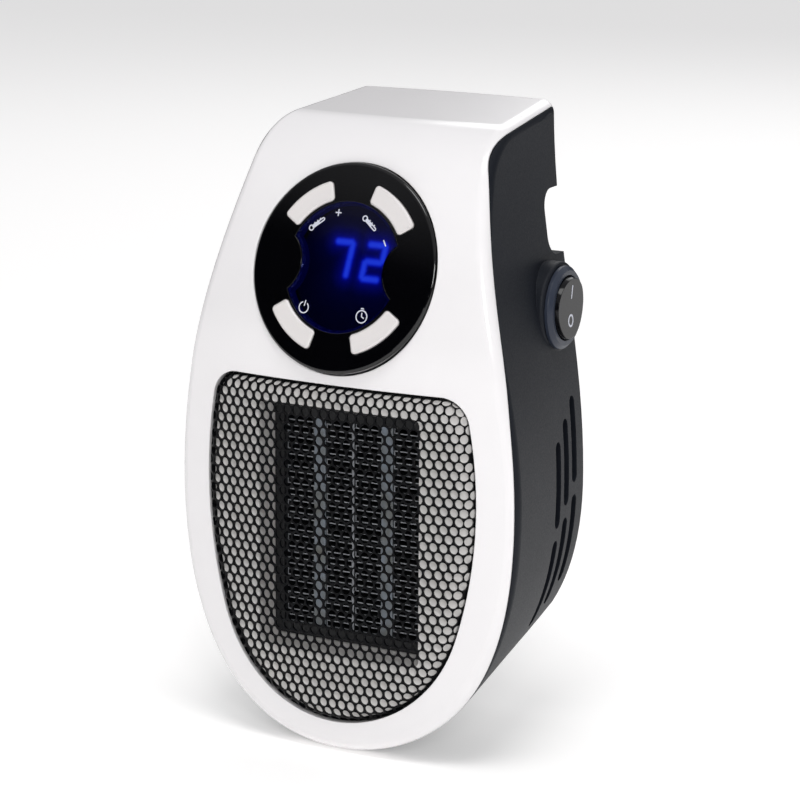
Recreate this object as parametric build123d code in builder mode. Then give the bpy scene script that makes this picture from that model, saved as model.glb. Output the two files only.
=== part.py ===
from build123d import *
from math import asin, cos, degrees, radians, sin, sqrt, tan
import os

os.makedirs("parts", exist_ok=True)

# Plug-in fan heater with a swivelling wall plug.
# Origin: centre of the plug hub's outer face, on the wall. +Y into the wall, +Z up, +X to the
# right for someone who faces the heater. Lengths in millimetres, angles in degrees.

# Fits shared by all pieces
slip = 0.05                 # running fit, per side
seat = 0.10                 # between faces that rest on each other
easy = 0.25                 # around parts that drop in
overrun = 4.0               # how far a cutting tool passes its wall

# Case: side profile
back_gap = 3.0              # wall to the back of the case
case_depth = 56.7
crown_radius = 250.0        # the front is crowned across its width
lean_start_z = -36.4        # the flat front ends here and starts to lean back
lean_radius = 110.0
lean_angle = 28.0
shoulder_radius = 21.0
top_slope = 7.4
edge_round = 3.2
wedge_angle = 40.0
shell = 2.4                 # wall of cover and housing

# Case: outline seen from the front, at the front plane and at the back
front_overhang = 2.3        # outline plane in front of the crown
crest_z = 31.6
widest_z = -65.9
front_half_top = 36.0
front_half_width = 51.0
front_bottom_z = -130.6
back_half_top = 29.0
back_half_width = 39.0
back_bottom_z = -115.4
upper_reach = 38.0          # length of the straight pull at the top of each side
side_reach = 35.0
lower_share = 0.62

# Parting line between cover and housing
parting_front = 5.5         # depth of the cover's lip below the flat front
parting_start_z = -48.4
parting_mid_y = -43.2
parting_mid_z = 15.6
parting_bend_y = -29.5
parting_bend_z = 24.6
parting_end_z = 28.1
parting_gap = 0.15
lap_wall = 1.8              # housing rim that laps under the cover's roof
lap_start_y = -19.9

# Underside of the housing
heel_z = -99.4
heel_slope = 22.0
heel_flange = 2.2

# Control panel
panel_tilt = 16.0
panel_y = -55.0
panel_z = -8.1
panel_radius = 26.0
panel_dome = 0.9
panel_rim_round = 0.8
panel_plate = 2.3
panel_skirt = 2.0
panel_depth = 6.0
cup_wall = 2.2
cup_floor = 3.5
cup_ledge = 2.7
window_radius = 16.2
bite_radius = 8.6
bite_centre = 20.4
window_plate = 1.2
window_ledge = 0.8
window_drop = 0.1

# Keys of the control panel
key_inner = 16.7
key_outer = 22.0
key_angle = 37.5            # centre of each key from the vertical
key_spread = 42.0
key_corner = 1.2
key_proud = 1.1
key_chamfer = 0.45
key_gap = 0.2
key_flange = 0.7
key_flange_thick = 0.9
stem_radius = 1.1
stem_length = 2.6

# Control board with its switches and display
board_thick = 1.6
board_radius = 26.0
board_screw_radius = 24.6
board_screw_bite = 2.6
tact_size = 6.0
tact_height = 4.0
tact_bore = 3.0
display_width = 22.0
display_height = 14.0
display_depth = 5.7         # face of the display below the panel
display_z_offset = 1.2

# Grille and outlet
outlet_top_z = -36.5
outlet_half_width = 39.0
outlet_widest_z = -63.4
outlet_bottom_z = -121.7
outlet_corner = 7.5
outlet_low_radius = 35.4
collar_wall = 1.6
grille_proud = 1.3
grille_sheet = 0.6
grille_round = 3.4
duct_inset = 1.4
duct_wall = 1.6
duct_flange = 1.8
duct_flange_y = -50.0
duct_low_y = -54.2
duct_fit = 1.2              # duct inside the sheet of the grille
collar_back = 5.3           # depth of the collar below the flat front
duct_well_y = -51.4         # the taper of the well ends here
duct_end_y = -36.1
duct_ring = 3.6
duct_low_z = -114.2
ear_high_z = -62.0
ear_low_z = -92.0
ear_offset = 3.5
ear_radius_duct = 2.4
duct_screw_bite = 3.2

# Heater block
heater_z = -74.0
heater_width = 45.0
heater_height = 59.0
heater_depth = 13.0
heater_front_y = -51.2
heater_rim = 2.7
well_width = 47.4
well_height = 64.0
well_corner = 1.6
heater_mid_y = -44.7
terminal_x = 9.85
bar_x = 9.85
core_inset = 1.0
fin_inset = 0.4
bar_width = 3.3
divider_thick = 0.6
fin_pitch = 1.48
fin_sheet = 0.3
terminal_width = 4.8
terminal_thick = 0.8
terminal_rise = 7.0
cutoff_width = 14.0
cutoff_corner = 1.0
cutoff_height = 7.0
cutoff_thick = 3.6

# Fan
fan_bore = 24.2
fan_ring = 1.3
fan_depth = 15.0
fan_plate = 1.8
fan_tip_gap = 0.6
fan_hub_radius = 9.5
fan_hub_wall = 1.3
fan_blades = 7
blade_thick = 1.1
blade_chord = 12.5
blade_root_angle = 42.0
blade_tip_angle = 28.0
shaft_radius = 1.25
bearing_radius = 2.6
stator_radius = 7.0
strut_width = 3.0
strut_thick = 1.6
fan_plate_width = 56.0
fan_plate_height = 66.0
fan_plate_corner = 3.0
fan_ear_radius = 3.0
fan_screw_floor = 3.0
fan_screw_length = 6.0
bearing_wall = 1.1
bearing_rise = 8.0
bearing_floor = 0.8
shaft_clearance = 0.2
hub_inset = 1.0
hub_depth = 11.2
hub_mid_y = -29.0
hub_round = 0.8
hub_sleeve = 1.0
hub_sleeve_wall = 1.1
stator_inset = 0.6
stator_depth = 6.0
stator_notch = 2.4
fan_z = -73.0
fan_front_y = -36.0
fan_post_x = 24.2
fan_post_z = 24.5
fan_ear_y = -21.0

# Plug
dial_radius = 20.0
dial_hub_radius = 17.0
dial_flange = 2.8
blade_spacing = 12.7
prong_thick = 1.5
prong_live_width = 6.35
prong_neutral_width = 7.94
prong_length = 17.5
prong_hole_radius = 1.6
prong_hole_y = 11.9
ring_wall = 2.0
retainer_thick = 1.6
retainer_bore = 13.0
ear_radius = 2.8
ear_centre = 25.2
retainer_bite = 2.6
stop_radius = 21.4
stop_length = 1.8
stop_width = 3.0
stop_angle = 8.4
tab_radius = 21.9
tab_width = 3.0
contact_thick = 0.8
contact_width = 2.0
inner_contact = 4.0
outer_contact = 9.6
prong_chamfer = 0.5
retainer_arm_share = 0.82
bridge_rise = 1.0
bridge_width = 7.0
brush_radius = 0.9
brush_collar = 0.5
brush_length = 4.6
lead_radius = 0.9
lead_bend = 2.5
lead_rise = 6.0
lead_run = 8.0
heater_lead_rise = 4.9
heater_lead_drop = 7.5
fan_lead_x = 3.0
fan_lead_z = 6.0
fan_lead_rise = 4.0
thin_lead_radius = 0.6
ribbon_radius = 0.5
ribbon_pitch = 1.4
ribbon_x = -19.4
ribbon_b = 8.0
ribbon_rise = 6.5
ribbon_land_z = 6.5

# Finger scoops in the sides of the housing
scoop_height = 16.4
scoop_depth = 9.5
scoop_floor_x = 25.5
scoop_corner = 5.0
scoop_wall = 2.0

# Rocker switch
switch_x = 38.4
switch_y = -15.0
switch_z = -20.1
switch_turn = 5.7
bezel_radius = 10.4
bezel_thick = 1.8
bezel_chamfer = 1.0
barrel_radius = 9.0
barrel_bore = 8.15
barrel_depth = 14.0
boss_radius = 11.4
boss_depth = 5.0
boss_round = 0.9
rocker_radius = 7.9
rocker_swing_radius = 8.0
rocker_face = 2.6
rocker_hollow = 60.0
rocker_root = 3.0
rocker_tilt = 13.0
pivot_height = 0.5
pivot_pin = 0.8
spade_width = 4.8
spade_thick = 0.8
spade_length = 6.5
spade_step = 4.6
barrel_floor = 1.8
pin_skin = 0.2
rocker_dish = 0.35

# Side vents and rear intake
vent_width = 3.8
vent_length = 22.0
vent_low_length = 23.0
vent_pitch = 6.3
vent_step = 4.6
vent_back_y = -10.2
vent_top_z = -43.2
vent_gap = 3.2
vent_inner_x = 26.0
vent_reach = 30.0
intake_slot = 2.6
intake_pitch = 5.2
intake_radius = 21.0

# Fasteners and posts
post_radius = 2.8
top_post_x = 23.4
top_post_z = 20.0
low_post_x = 26.2
low_post_z = -112.2
low_post_radius = 2.4
low_column_radius = 3.3
top_seat_y = -12.0          # where the heads of the case screws sit
top_joint_y = -20.0         # where the posts of cover and housing meet
low_seat_y = -44.6
low_joint_y = -47.9
screw_radius = 1.25
screw_head_radius = 2.6
screw_head = 1.8
top_screw_length = 15.0
low_screw_length = 9.5
small_screw_radius = 0.9
small_head_radius = 1.9
small_head = 1.3

# Power board
power_y = -25.0
power_width = 47.0
power_bottom_z = -38.0
power_top_z = 16.4
power_post_x = 21.0
power_post_top_z = 13.0
power_post_low_z = -33.5
power_post_radius = 2.2
power_corner = 1.5
board_screw_reach = 8.0
relay_x = -13.0
relay_z = -22.0
relay_width = 15.5
relay_height = 19.0
relay_depth = 11.5
core_x = 6.0
core_z = -24.0
core_width = 15.0
core_height = 13.0
core_tall = 11.0
block_x = 0.0
block_z = -6.5
block_width = 30.0
block_height = 7.0
block_depth = 8.5
can_x = 12.5
can_z = 9.0
can_step = 8.0
can_radius = 3.2
can_tall = 7.5

# Places that follow from the sizes
back_y = -back_gap
front_y = back_y - case_depth
axis_y = front_y + crown_radius
outline_y = front_y - front_overhang
inner_back_y = back_y - shell
crown_axis = Axis((0, axis_y, 0), (0, 0, 1))
near_radius = crown_radius - case_depth - shoulder_radius
parting_y = front_y + parting_front
outlet_low_z = outlet_bottom_z + outlet_low_radius
outlet_drop = outlet_widest_z - outlet_low_z
outlet_side_radius = (outlet_half_width**2 + outlet_drop**2 - outlet_low_radius**2) / (
    2 * (outlet_half_width - outlet_low_radius)
)
outlet_turn_low = degrees(
    asin(outlet_drop / (outlet_side_radius - outlet_low_radius))
)
outlet_turn_high = degrees(asin((outlet_top_z - outlet_widest_z) / outlet_side_radius))
outlet_corner_x = outlet_half_width - outlet_side_radius * (
    1 - cos(radians(outlet_turn_high))
)
wedge_plane = Plane(
    origin=(0, axis_y, 0),
    x_dir=(-sin(radians(wedge_angle / 2)), -cos(radians(wedge_angle / 2)), 0),
    z_dir=(-cos(radians(wedge_angle / 2)), sin(radians(wedge_angle / 2)), 0),
)
panel_plane = Plane(
    origin=(0, panel_y, panel_z),
    x_dir=(1, 0, 0),
    z_dir=(0, -cos(radians(panel_tilt)), sin(radians(panel_tilt))),
)
switch_plane = Plane(
    origin=(switch_x, switch_y, switch_z),
    x_dir=(-sin(radians(switch_turn)), cos(radians(switch_turn)), 0),
    z_dir=(cos(radians(switch_turn)), sin(radians(switch_turn)), 0),
)


def across(y):
    """Plane parallel to the wall at the given place, facing the front."""
    return Plane.XZ.offset(-y)


def save(builder, name):
    """Label one node and write its file."""
    builder.part.label = name
    export_step(builder.part, "parts/" + name + ".step")


def case_outline(half_top, half_width, bottom_z, inset):
    """Closed outline of the case, seen from the front, in the current sketch."""
    top = crest_z - inset
    side = half_width - inset
    crest = half_top - inset
    low = bottom_z + inset
    with BuildLine() as outline:
        Line((-crest, top), (crest, top))
        for hand in (1, -1):
            Bezier(
                (hand * crest, top),
                (hand * crest, top - upper_reach),
                (hand * side, widest_z + side_reach),
                (hand * side, widest_z),
            )
            Bezier(
                (hand * side, widest_z),
                (hand * side, widest_z + lower_share * (low - widest_z)),
                (hand * side * lower_share, low),
                (0, low),
            )
    make_face(outline.edges())


def crowned_region(inset, mode=Mode.ADD):
    """Area between the crown axis and the case's side profile, in the current sketch."""
    front = crown_radius - inset
    with BuildLine() as profile:
        wall = Line((front, front_bottom_z - overrun), (front, lean_start_z))
        lean = JernArc(wall @ 1, wall % 1, lean_radius - inset, lean_angle)
        shoulder = JernArc(
            lean @ 1, lean % 1, shoulder_radius - inset, 90 - lean_angle - top_slope
        )
        run = (shoulder @ 1).X - near_radius
        roof = Line(shoulder @ 1, (near_radius, (shoulder @ 1).Y + run * tan(radians(top_slope))))
        Polyline(roof @ 1, (near_radius, front_bottom_z - overrun), wall @ 0)
    make_face(profile.edges(), mode=mode)


def case_loft(inset):
    """Tapered body between the front and the back outline, not yet trimmed."""
    with BuildPart() as body:
        with BuildSketch(across(outline_y)):
            case_outline(front_half_top, front_half_width, front_bottom_z, inset)
        with BuildSketch(across(back_y)):
            case_outline(back_half_top, back_half_width, back_bottom_z, inset)
        loft()
    return body.part


def case_body(inset, rounding):
    """The case as one solid: the tapered body trimmed by the crowned side profile."""
    with BuildPart() as body:
        add(case_loft(inset))
        with BuildSketch(wedge_plane):
            crowned_region(inset)
        revolve(axis=crown_axis, revolution_arc=wedge_angle, mode=Mode.INTERSECT)
        crowned = body.faces().filter_by(
            lambda face: face.geom_type in (GeomType.CYLINDER, GeomType.TORUS, GeomType.CONE)
        )
        flanks = body.faces().filter_by(GeomType.BSPLINE)
        fillet(crowned.edges() & flanks.edges(), radius=rounding)
    return body.part


def behind_parting(shift, mode=Mode.ADD):
    """Area behind the parting line in side view, in the current sketch."""
    with BuildLine() as seam:
        low = Line(
            (parting_y + shift, front_bottom_z - overrun),
            (parting_y + shift, parting_start_z - shift),
        )
        knee = TangentArc(
            low @ 1, (parting_mid_y + shift, parting_mid_z - shift), tangent=low % 1
        )
        bend = Spline(
            knee @ 1,
            (parting_bend_y + shift, parting_bend_z - shift),
            tangents=(knee % 1, (cos(radians(top_slope)), sin(radians(top_slope)))),
        )
        Polyline(
            bend @ 1,
            (back_y + shift, parting_end_z - shift),
            (back_y + shift + overrun, parting_end_z - shift),
            (back_y + shift + overrun, front_bottom_z - overrun),
            low @ 0,
        )
    make_face(seam.edges(), mode=mode)


def heel_region(lift):
    """Area below the housing's sloping underside, in the current sketch."""
    level = heel_z + lift / cos(radians(heel_slope))
    fall = tan(radians(heel_slope))
    with BuildLine() as heel:
        Polyline(
            (back_y + overrun, level + overrun * fall),
            (outline_y, level - (back_y - outline_y) * fall),
            (outline_y, front_bottom_z - overrun),
            (back_y + overrun, front_bottom_z - overrun),
            close=True,
        )
    make_face(heel.edges())


# Outline of the outlet, seen from the front: flat top, rounded shoulders, round bottom
with BuildSketch() as outlet:
    with BuildLine():
        top_edge = Line((-outlet_corner_x, outlet_top_z), (outlet_corner_x, outlet_top_z))
        right_side = JernArc(
            top_edge @ 1,
            (sin(radians(outlet_turn_high)), -cos(radians(outlet_turn_high))),
            outlet_side_radius,
            -outlet_turn_high - outlet_turn_low,
        )
        bottom = JernArc(
            right_side @ 1, right_side % 1, outlet_low_radius, 2 * outlet_turn_low - 180
        )
        JernArc(
            bottom @ 1, bottom % 1, outlet_side_radius, -outlet_turn_high - outlet_turn_low
        )
    make_face()
    fillet(outlet.vertices().group_by(Axis.Y)[-1], radius=outlet_corner)


def outlet_face(grow):
    """The outlet's outline, grown or shrunk, in the current sketch."""
    with BuildSketch() as outline:
        add(outlet.sketch_local)
        offset(amount=grow)
    add(outline.sketch_local)


outer_body = case_body(0, edge_round)
inner_body = split(case_body(shell, edge_round - shell), bisect_by=across(inner_back_y))


def outlet_prism(grow, from_y, to_y, mode=Mode.ADD):
    """Prism of the outlet's outline between two planes parallel to the wall."""
    with BuildPart(mode=Mode.PRIVATE) as prism:
        with BuildSketch(across(from_y)):
            outlet_face(grow)
        extrude(amount=from_y - to_y)
    add(prism.part, mode=mode)


def crown_cylinder(radius):
    """Upright cylinder that gives a piece the crown of the front."""
    with BuildPart(mode=Mode.PRIVATE) as crown:
        with Locations((0, axis_y, (crest_z + front_bottom_z) / 2)):
            Cylinder(radius, 2 * (crest_z - front_bottom_z))
    add(crown.part, mode=Mode.INTERSECT)


# Inner features of the cover, trimmed to its outer surface: collar, panel cup, posts
collar_back_y = front_y + collar_back
ear_high_x = outlet_half_width + ear_offset
ear_low_x = (
    (outlet_side_radius + ear_offset) * cos(asin((outlet_widest_z - ear_low_z) / outlet_side_radius))
    + outlet_half_width
    - outlet_side_radius
)
ears = [(hand * x, z) for hand in (1, -1) for x, z in ((ear_high_x, ear_high_z), (ear_low_x, ear_low_z))]
cup_outer = panel_radius + easy + cup_wall
top_posts = [(hand * top_post_x, top_post_z) for hand in (1, -1)]
low_posts = [(hand * low_post_x, low_post_z) for hand in (1, -1)]
with BuildPart() as cover_insides:
    outlet_prism(collar_wall, collar_back_y, outline_y)
    with BuildSketch(panel_plane.offset(-panel_depth - cup_floor)):
        Circle(cup_outer)
    extrude(amount=panel_depth + cup_floor + overrun)
    with BuildSketch(across(duct_flange_y - seat)):
        with Locations(*ears):
            Circle(ear_radius_duct)
    extrude(amount=duct_flange_y - seat - outline_y)
    with BuildSketch(across(top_joint_y)):
        with Locations(*top_posts):
            Circle(post_radius)
    extrude(amount=top_joint_y - outline_y)
    with BuildSketch(across(low_joint_y)):
        with Locations(*low_posts):
            Circle(low_post_radius)
    extrude(amount=low_joint_y - outline_y)
    add(outer_body, mode=Mode.INTERSECT)

# Front cover: glossy shell with the outlet opening and the cup for the control panel
with BuildPart() as front_cover:
    add(outer_body)
    add(inner_body, mode=Mode.SUBTRACT)
    with BuildSketch(Plane.YZ):
        behind_parting(0)
    extrude(amount=2 * front_half_width, both=True, mode=Mode.SUBTRACT)
    add(cover_insides.part)
    with BuildSketch(panel_plane.offset(-panel_depth)):
        Circle(panel_radius + easy)
    extrude(amount=panel_depth + 2 * overrun, mode=Mode.SUBTRACT)
    with BuildSketch(panel_plane.offset(-panel_depth - cup_floor - overrun)):
        Circle(panel_radius - cup_ledge)
    extrude(amount=cup_floor + 2 * overrun, mode=Mode.SUBTRACT)
    outlet_prism(0, collar_back_y + overrun, outline_y - overrun, mode=Mode.SUBTRACT)
    with BuildSketch(across(top_joint_y)):
        with Locations(*top_posts):
            Circle(screw_radius)
    extrude(amount=top_screw_length + top_joint_y - top_seat_y + seat, mode=Mode.SUBTRACT)
    with BuildSketch(across(low_joint_y)):
        with Locations(*low_posts):
            Circle(screw_radius)
    extrude(amount=low_screw_length + low_joint_y - low_seat_y + seat, mode=Mode.SUBTRACT)
    with BuildSketch(across(duct_flange_y - seat)):
        with Locations(*ears):
            Circle(small_screw_radius)
    extrude(amount=duct_screw_bite, mode=Mode.SUBTRACT)
    with BuildSketch(panel_plane.offset(-panel_depth - cup_floor)):
        with PolarLocations(board_screw_radius, 4, start_angle=45):
            Circle(small_screw_radius)
    extrude(amount=board_screw_bite, mode=Mode.SUBTRACT)
save(front_cover, "front_cover")

# Rear housing: dark shell behind the parting line
barrel_hole = barrel_radius + slip
retainer_angles = (60, 120, 240, 300)
retainer_posts = [
    (ear_centre * cos(radians(angle)), ear_centre * sin(radians(angle)))
    for angle in retainer_angles
]
fan_posts = [(hand * fan_post_x, fan_z + rise * fan_post_z) for hand in (1, -1) for rise in (1, -1)]
power_posts = [(hand * power_post_x, z) for hand in (1, -1) for z in (power_post_top_z, power_post_low_z)]
heel_back_y = parting_y + parting_gap + heel_flange

# Everything over the housing's roof, kept out of its hollow
with BuildPart() as above_roof:
    with BuildSketch(wedge_plane):
        with Locations((near_radius, lean_start_z)):
            Rectangle(
                case_depth, crest_z - lean_start_z + overrun, align=(Align.MIN, Align.MIN)
            )
        crowned_region(shell, mode=Mode.SUBTRACT)
    revolve(axis=crown_axis, revolution_arc=wedge_angle)
    split(bisect_by=across(lap_start_y), keep=Keep.BOTTOM)

# Hollow of the housing: the shell's inside without roof, heel, lap, scoop pockets, posts, stops
with BuildPart() as housing_void:
    add(case_loft(shell))
    split(bisect_by=across(inner_back_y))
    add(above_roof.part, mode=Mode.SUBTRACT)
    with BuildSketch(Plane.YZ):
        heel_region(shell)
    extrude(amount=2 * front_half_width, both=True, mode=Mode.SUBTRACT)
    with BuildSketch(Plane.YZ) as lap:
        behind_parting(parting_gap)
        behind_parting(parting_gap + lap_wall, mode=Mode.SUBTRACT)
        with Locations((lap_start_y, 0)):
            Rectangle(
                2 * case_depth, 4 * crest_z, align=(Align.MIN, Align.CENTER), mode=Mode.INTERSECT
            )
    extrude(amount=2 * front_half_width, both=True, mode=Mode.SUBTRACT)
    # pockets of the finger scoops
    for hand in (1, -1):
        with BuildSketch(across(inner_back_y)):
            with Locations((hand * (scoop_floor_x - scoop_wall), 0)):
                Rectangle(
                    front_half_width,
                    scoop_height + 2 * scoop_wall,
                    align=(Align.MIN if hand > 0 else Align.MAX, Align.CENTER),
                )
        extrude(amount=scoop_depth + scoop_wall - shell, mode=Mode.SUBTRACT)
    # posts for the case screws, the fan, the power board and the plug's retainer
    with BuildSketch(across(inner_back_y)):
        with Locations(*top_posts):
            Circle(post_radius)
    extrude(amount=inner_back_y - top_joint_y - seat, mode=Mode.SUBTRACT)
    with BuildSketch(across(inner_back_y)):
        with Locations(*low_posts):
            Circle(low_column_radius)
    extrude(amount=inner_back_y - low_joint_y - seat, mode=Mode.SUBTRACT)
    with BuildSketch(across(inner_back_y)):
        with Locations(*fan_posts):
            Circle(power_post_radius)
    extrude(amount=inner_back_y - fan_ear_y, mode=Mode.SUBTRACT)
    with BuildSketch(across(inner_back_y)):
        with Locations(*power_posts):
            Circle(power_post_radius)
    extrude(amount=inner_back_y - power_y, mode=Mode.SUBTRACT)
    with BuildSketch(across(inner_back_y)):
        with Locations(*retainer_posts):
            Circle(ear_radius)
    extrude(amount=dial_flange + seat, mode=Mode.SUBTRACT)
    # stops for the swivelling plug
    with BuildSketch(across(inner_back_y)):
        for angle in (stop_angle, 180 - stop_angle):
            with Locations(
                (stop_radius * cos(radians(angle)), stop_radius * sin(radians(angle)))
            ):
                Rectangle(stop_length, stop_width, rotation=angle)
    extrude(amount=dial_flange + seat, mode=Mode.SUBTRACT)

with BuildPart() as rear_housing:
    with BuildSketch(Plane.YZ):
        behind_parting(parting_gap)
    extrude(amount=2 * front_half_width, both=True)
    add(outer_body, mode=Mode.INTERSECT)
    # underside behind the flange
    with BuildSketch(Plane.YZ) as underside:
        heel_region(0)
        with Locations((heel_back_y, 0)):
            Rectangle(
                2 * case_depth,
                4 * (crest_z - front_bottom_z),
                align=(Align.MIN, Align.CENTER),
                mode=Mode.INTERSECT,
            )
    extrude(amount=2 * front_half_width, both=True, mode=Mode.SUBTRACT)
    # boss of the rocker switch
    with BuildPart(mode=Mode.PRIVATE) as boss:
        with BuildSketch(switch_plane.offset(-boss_depth)):
            Circle(boss_radius)
        extrude(amount=boss_depth)
        fillet(boss.edges().group_by(Axis(switch_plane.origin, switch_plane.z_dir))[-1], boss_round)
    add(boss.part)
    add(housing_void.part, mode=Mode.SUBTRACT)
    with BuildPart(mode=Mode.PRIVATE) as boss_ring:
        with BuildSketch(switch_plane.offset(-boss_depth)):
            Circle(boss_radius)
            Circle(barrel_hole, mode=Mode.SUBTRACT)
        extrude(amount=boss_depth / 2)
    add(boss_ring.part)
    with BuildSketch(switch_plane.offset(-barrel_depth)):
        Circle(barrel_hole)
    extrude(amount=barrel_depth + overrun, mode=Mode.SUBTRACT)
    # finger scoops, round at their front corners
    for hand in (1, -1):
        with BuildPart(mode=Mode.PRIVATE) as scoop:
            with BuildSketch(across(back_y + overrun)):
                with Locations((hand * scoop_floor_x, 0)):
                    Rectangle(
                        front_half_width,
                        scoop_height,
                        align=(Align.MIN if hand > 0 else Align.MAX, Align.CENTER),
                    )
            extrude(amount=scoop_depth + overrun)
            fillet(
                scoop.edges().filter_by(Axis.X).group_by(Axis.Y)[0], radius=scoop_corner
            )
        add(scoop.part, mode=Mode.SUBTRACT)
    # bore for the plug's hub
    with BuildSketch(across(back_y + overrun)):
        Circle(dial_hub_radius + slip * 2)
    extrude(amount=2 * overrun, mode=Mode.SUBTRACT)
    # screw holes
    with BuildSketch(across(back_y + overrun)):
        with Locations(*top_posts, *low_posts):
            Circle(screw_radius)
    extrude(amount=case_depth, mode=Mode.SUBTRACT)
    with BuildSketch(across(back_y + overrun)):
        with Locations(*top_posts):
            Circle(screw_head_radius + slip * 2)
    extrude(amount=back_y + overrun - top_seat_y, mode=Mode.SUBTRACT)
    with BuildSketch(across(back_y + overrun)):
        with Locations(*low_posts):
            Circle(screw_head_radius + slip * 2)
    extrude(amount=back_y + overrun - low_seat_y, mode=Mode.SUBTRACT)
    with BuildSketch(across(inner_back_y)):
        with Locations(*fan_posts, *power_posts):
            Circle(small_screw_radius)
    extrude(amount=case_depth / 2, mode=Mode.SUBTRACT)
    with BuildSketch(across(inner_back_y - dial_flange - seat)):
        with Locations(*retainer_posts):
            Circle(small_screw_radius)
    extrude(amount=-retainer_bite, mode=Mode.SUBTRACT)
    # slot vents in both flanks, in two banks
    for hand in (1, -1):
        for column in range(3):
            slot_y = vent_back_y - column * vent_pitch
            slot_top = vent_top_z - column * vent_step
            with BuildSketch(Plane.YZ.offset(hand * vent_inner_x)):
                with Locations((slot_y, slot_top - vent_length / 2)):
                    SlotOverall(vent_length, vent_width, rotation=90)
                with Locations((slot_y, slot_top - vent_length - vent_gap - vent_low_length / 2)):
                    SlotOverall(vent_low_length, vent_width, rotation=90)
            extrude(amount=hand * vent_reach, mode=Mode.SUBTRACT)
    # intake slots behind the fan
    with BuildSketch(across(back_y + overrun)):
        for row in range(-3, 4):
            with Locations((0, fan_z + row * intake_pitch)):
                SlotOverall(2 * sqrt(intake_radius**2 - (row * intake_pitch) ** 2), intake_slot)
    extrude(amount=shell + 2 * overrun, mode=Mode.SUBTRACT)
save(rear_housing, "rear_housing")

# Control panel: slightly domed disc with a skirt, a round window and four openings for the keys
panel_dome_radius = (panel_radius**2 + panel_dome**2) / (2 * panel_dome)
key_centres = (90 - key_angle, 90 + key_angle, 270 - key_angle, 270 + key_angle)
normal_axis = Axis(panel_plane.origin, panel_plane.z_dir)
panel_section = Plane(
    origin=(0, panel_y, panel_z),
    x_dir=(1, 0, 0),
    z_dir=(0, -sin(radians(panel_tilt)), -cos(radians(panel_tilt))),
)


def domed_disc(drop, mode=Mode.ADD):
    """Disc of the panel's size with a domed face and a rounded rim, sunk by the drop."""
    middle = panel_radius / 2
    with BuildPart(mode=Mode.PRIVATE) as disc:
        with BuildSketch(panel_section) as half:
            with BuildLine():
                Polyline(
                    (0, panel_dome - drop),
                    (0, -panel_depth),
                    (panel_radius, -panel_depth),
                    (panel_radius, -drop),
                )
                ThreePointArc(
                    (panel_radius, -drop),
                    (
                        middle,
                        panel_dome
                        - drop
                        - panel_dome_radius
                        + sqrt(panel_dome_radius**2 - middle**2),
                    ),
                    (0, panel_dome - drop),
                )
            make_face()
            fillet(half.vertices().sort_by(Axis((0, 0, 0), (1, 1, 0)))[-1], panel_rim_round)
        revolve(axis=normal_axis)
    add(disc.part, mode=mode)


def ring_sector(inner, outer, spread, corner, mode=Mode.ADD):
    """Rounded ring sectors at the places of the four keys, in the current sketch."""
    for centre in key_centres:
        with BuildSketch() as sector:
            with BuildLine():
                arc_out = CenterArc((0, 0), outer, centre - spread / 2, spread)
                arc_in = CenterArc((0, 0), inner, centre - spread / 2, spread)
                Line(arc_out @ 0, arc_in @ 0)
                Line(arc_out @ 1, arc_in @ 1)
            make_face()
            fillet(sector.vertices(), radius=corner)
        add(sector.sketch_local, mode=mode)


def window_shape(shrink):
    """Round window with a bite at either side, in the current sketch."""
    with BuildSketch() as shape:
        Circle(window_radius - shrink)
        with Locations((-bite_centre, 0), (bite_centre, 0)):
            Circle(bite_radius + shrink, mode=Mode.SUBTRACT)
    add(shape.sketch_local)


key_spread_small = key_spread - degrees(2 * key_gap / key_outer)
with BuildPart() as control_panel:
    domed_disc(0)
    with BuildSketch(panel_plane.offset(-panel_depth)):
        Circle(panel_radius - panel_skirt)
    extrude(amount=panel_depth - panel_plate, mode=Mode.SUBTRACT)
    with BuildSketch(panel_plane.offset(-panel_plate)):
        window_shape(window_ledge)
    extrude(amount=panel_plate + overrun, mode=Mode.SUBTRACT)
    with BuildSketch(panel_plane.offset(panel_dome - window_plate - window_drop)):
        window_shape(0)
    extrude(amount=window_plate + overrun, mode=Mode.SUBTRACT)
    with BuildSketch(panel_plane.offset(-panel_plate)):
        ring_sector(key_inner, key_outer, key_spread, key_corner)
    extrude(amount=panel_plate + overrun, mode=Mode.SUBTRACT)
save(control_panel, "control_panel")

# Display window: smoked lens that rests on the panel's ledge
with BuildPart() as display_window:
    with BuildSketch(panel_plane.offset(panel_dome - window_plate - window_drop)):
        window_shape(key_gap)
    extrude(amount=window_plate + overrun)
    domed_disc(window_drop, mode=Mode.INTERSECT)
save(display_window, "display_window")

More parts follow.
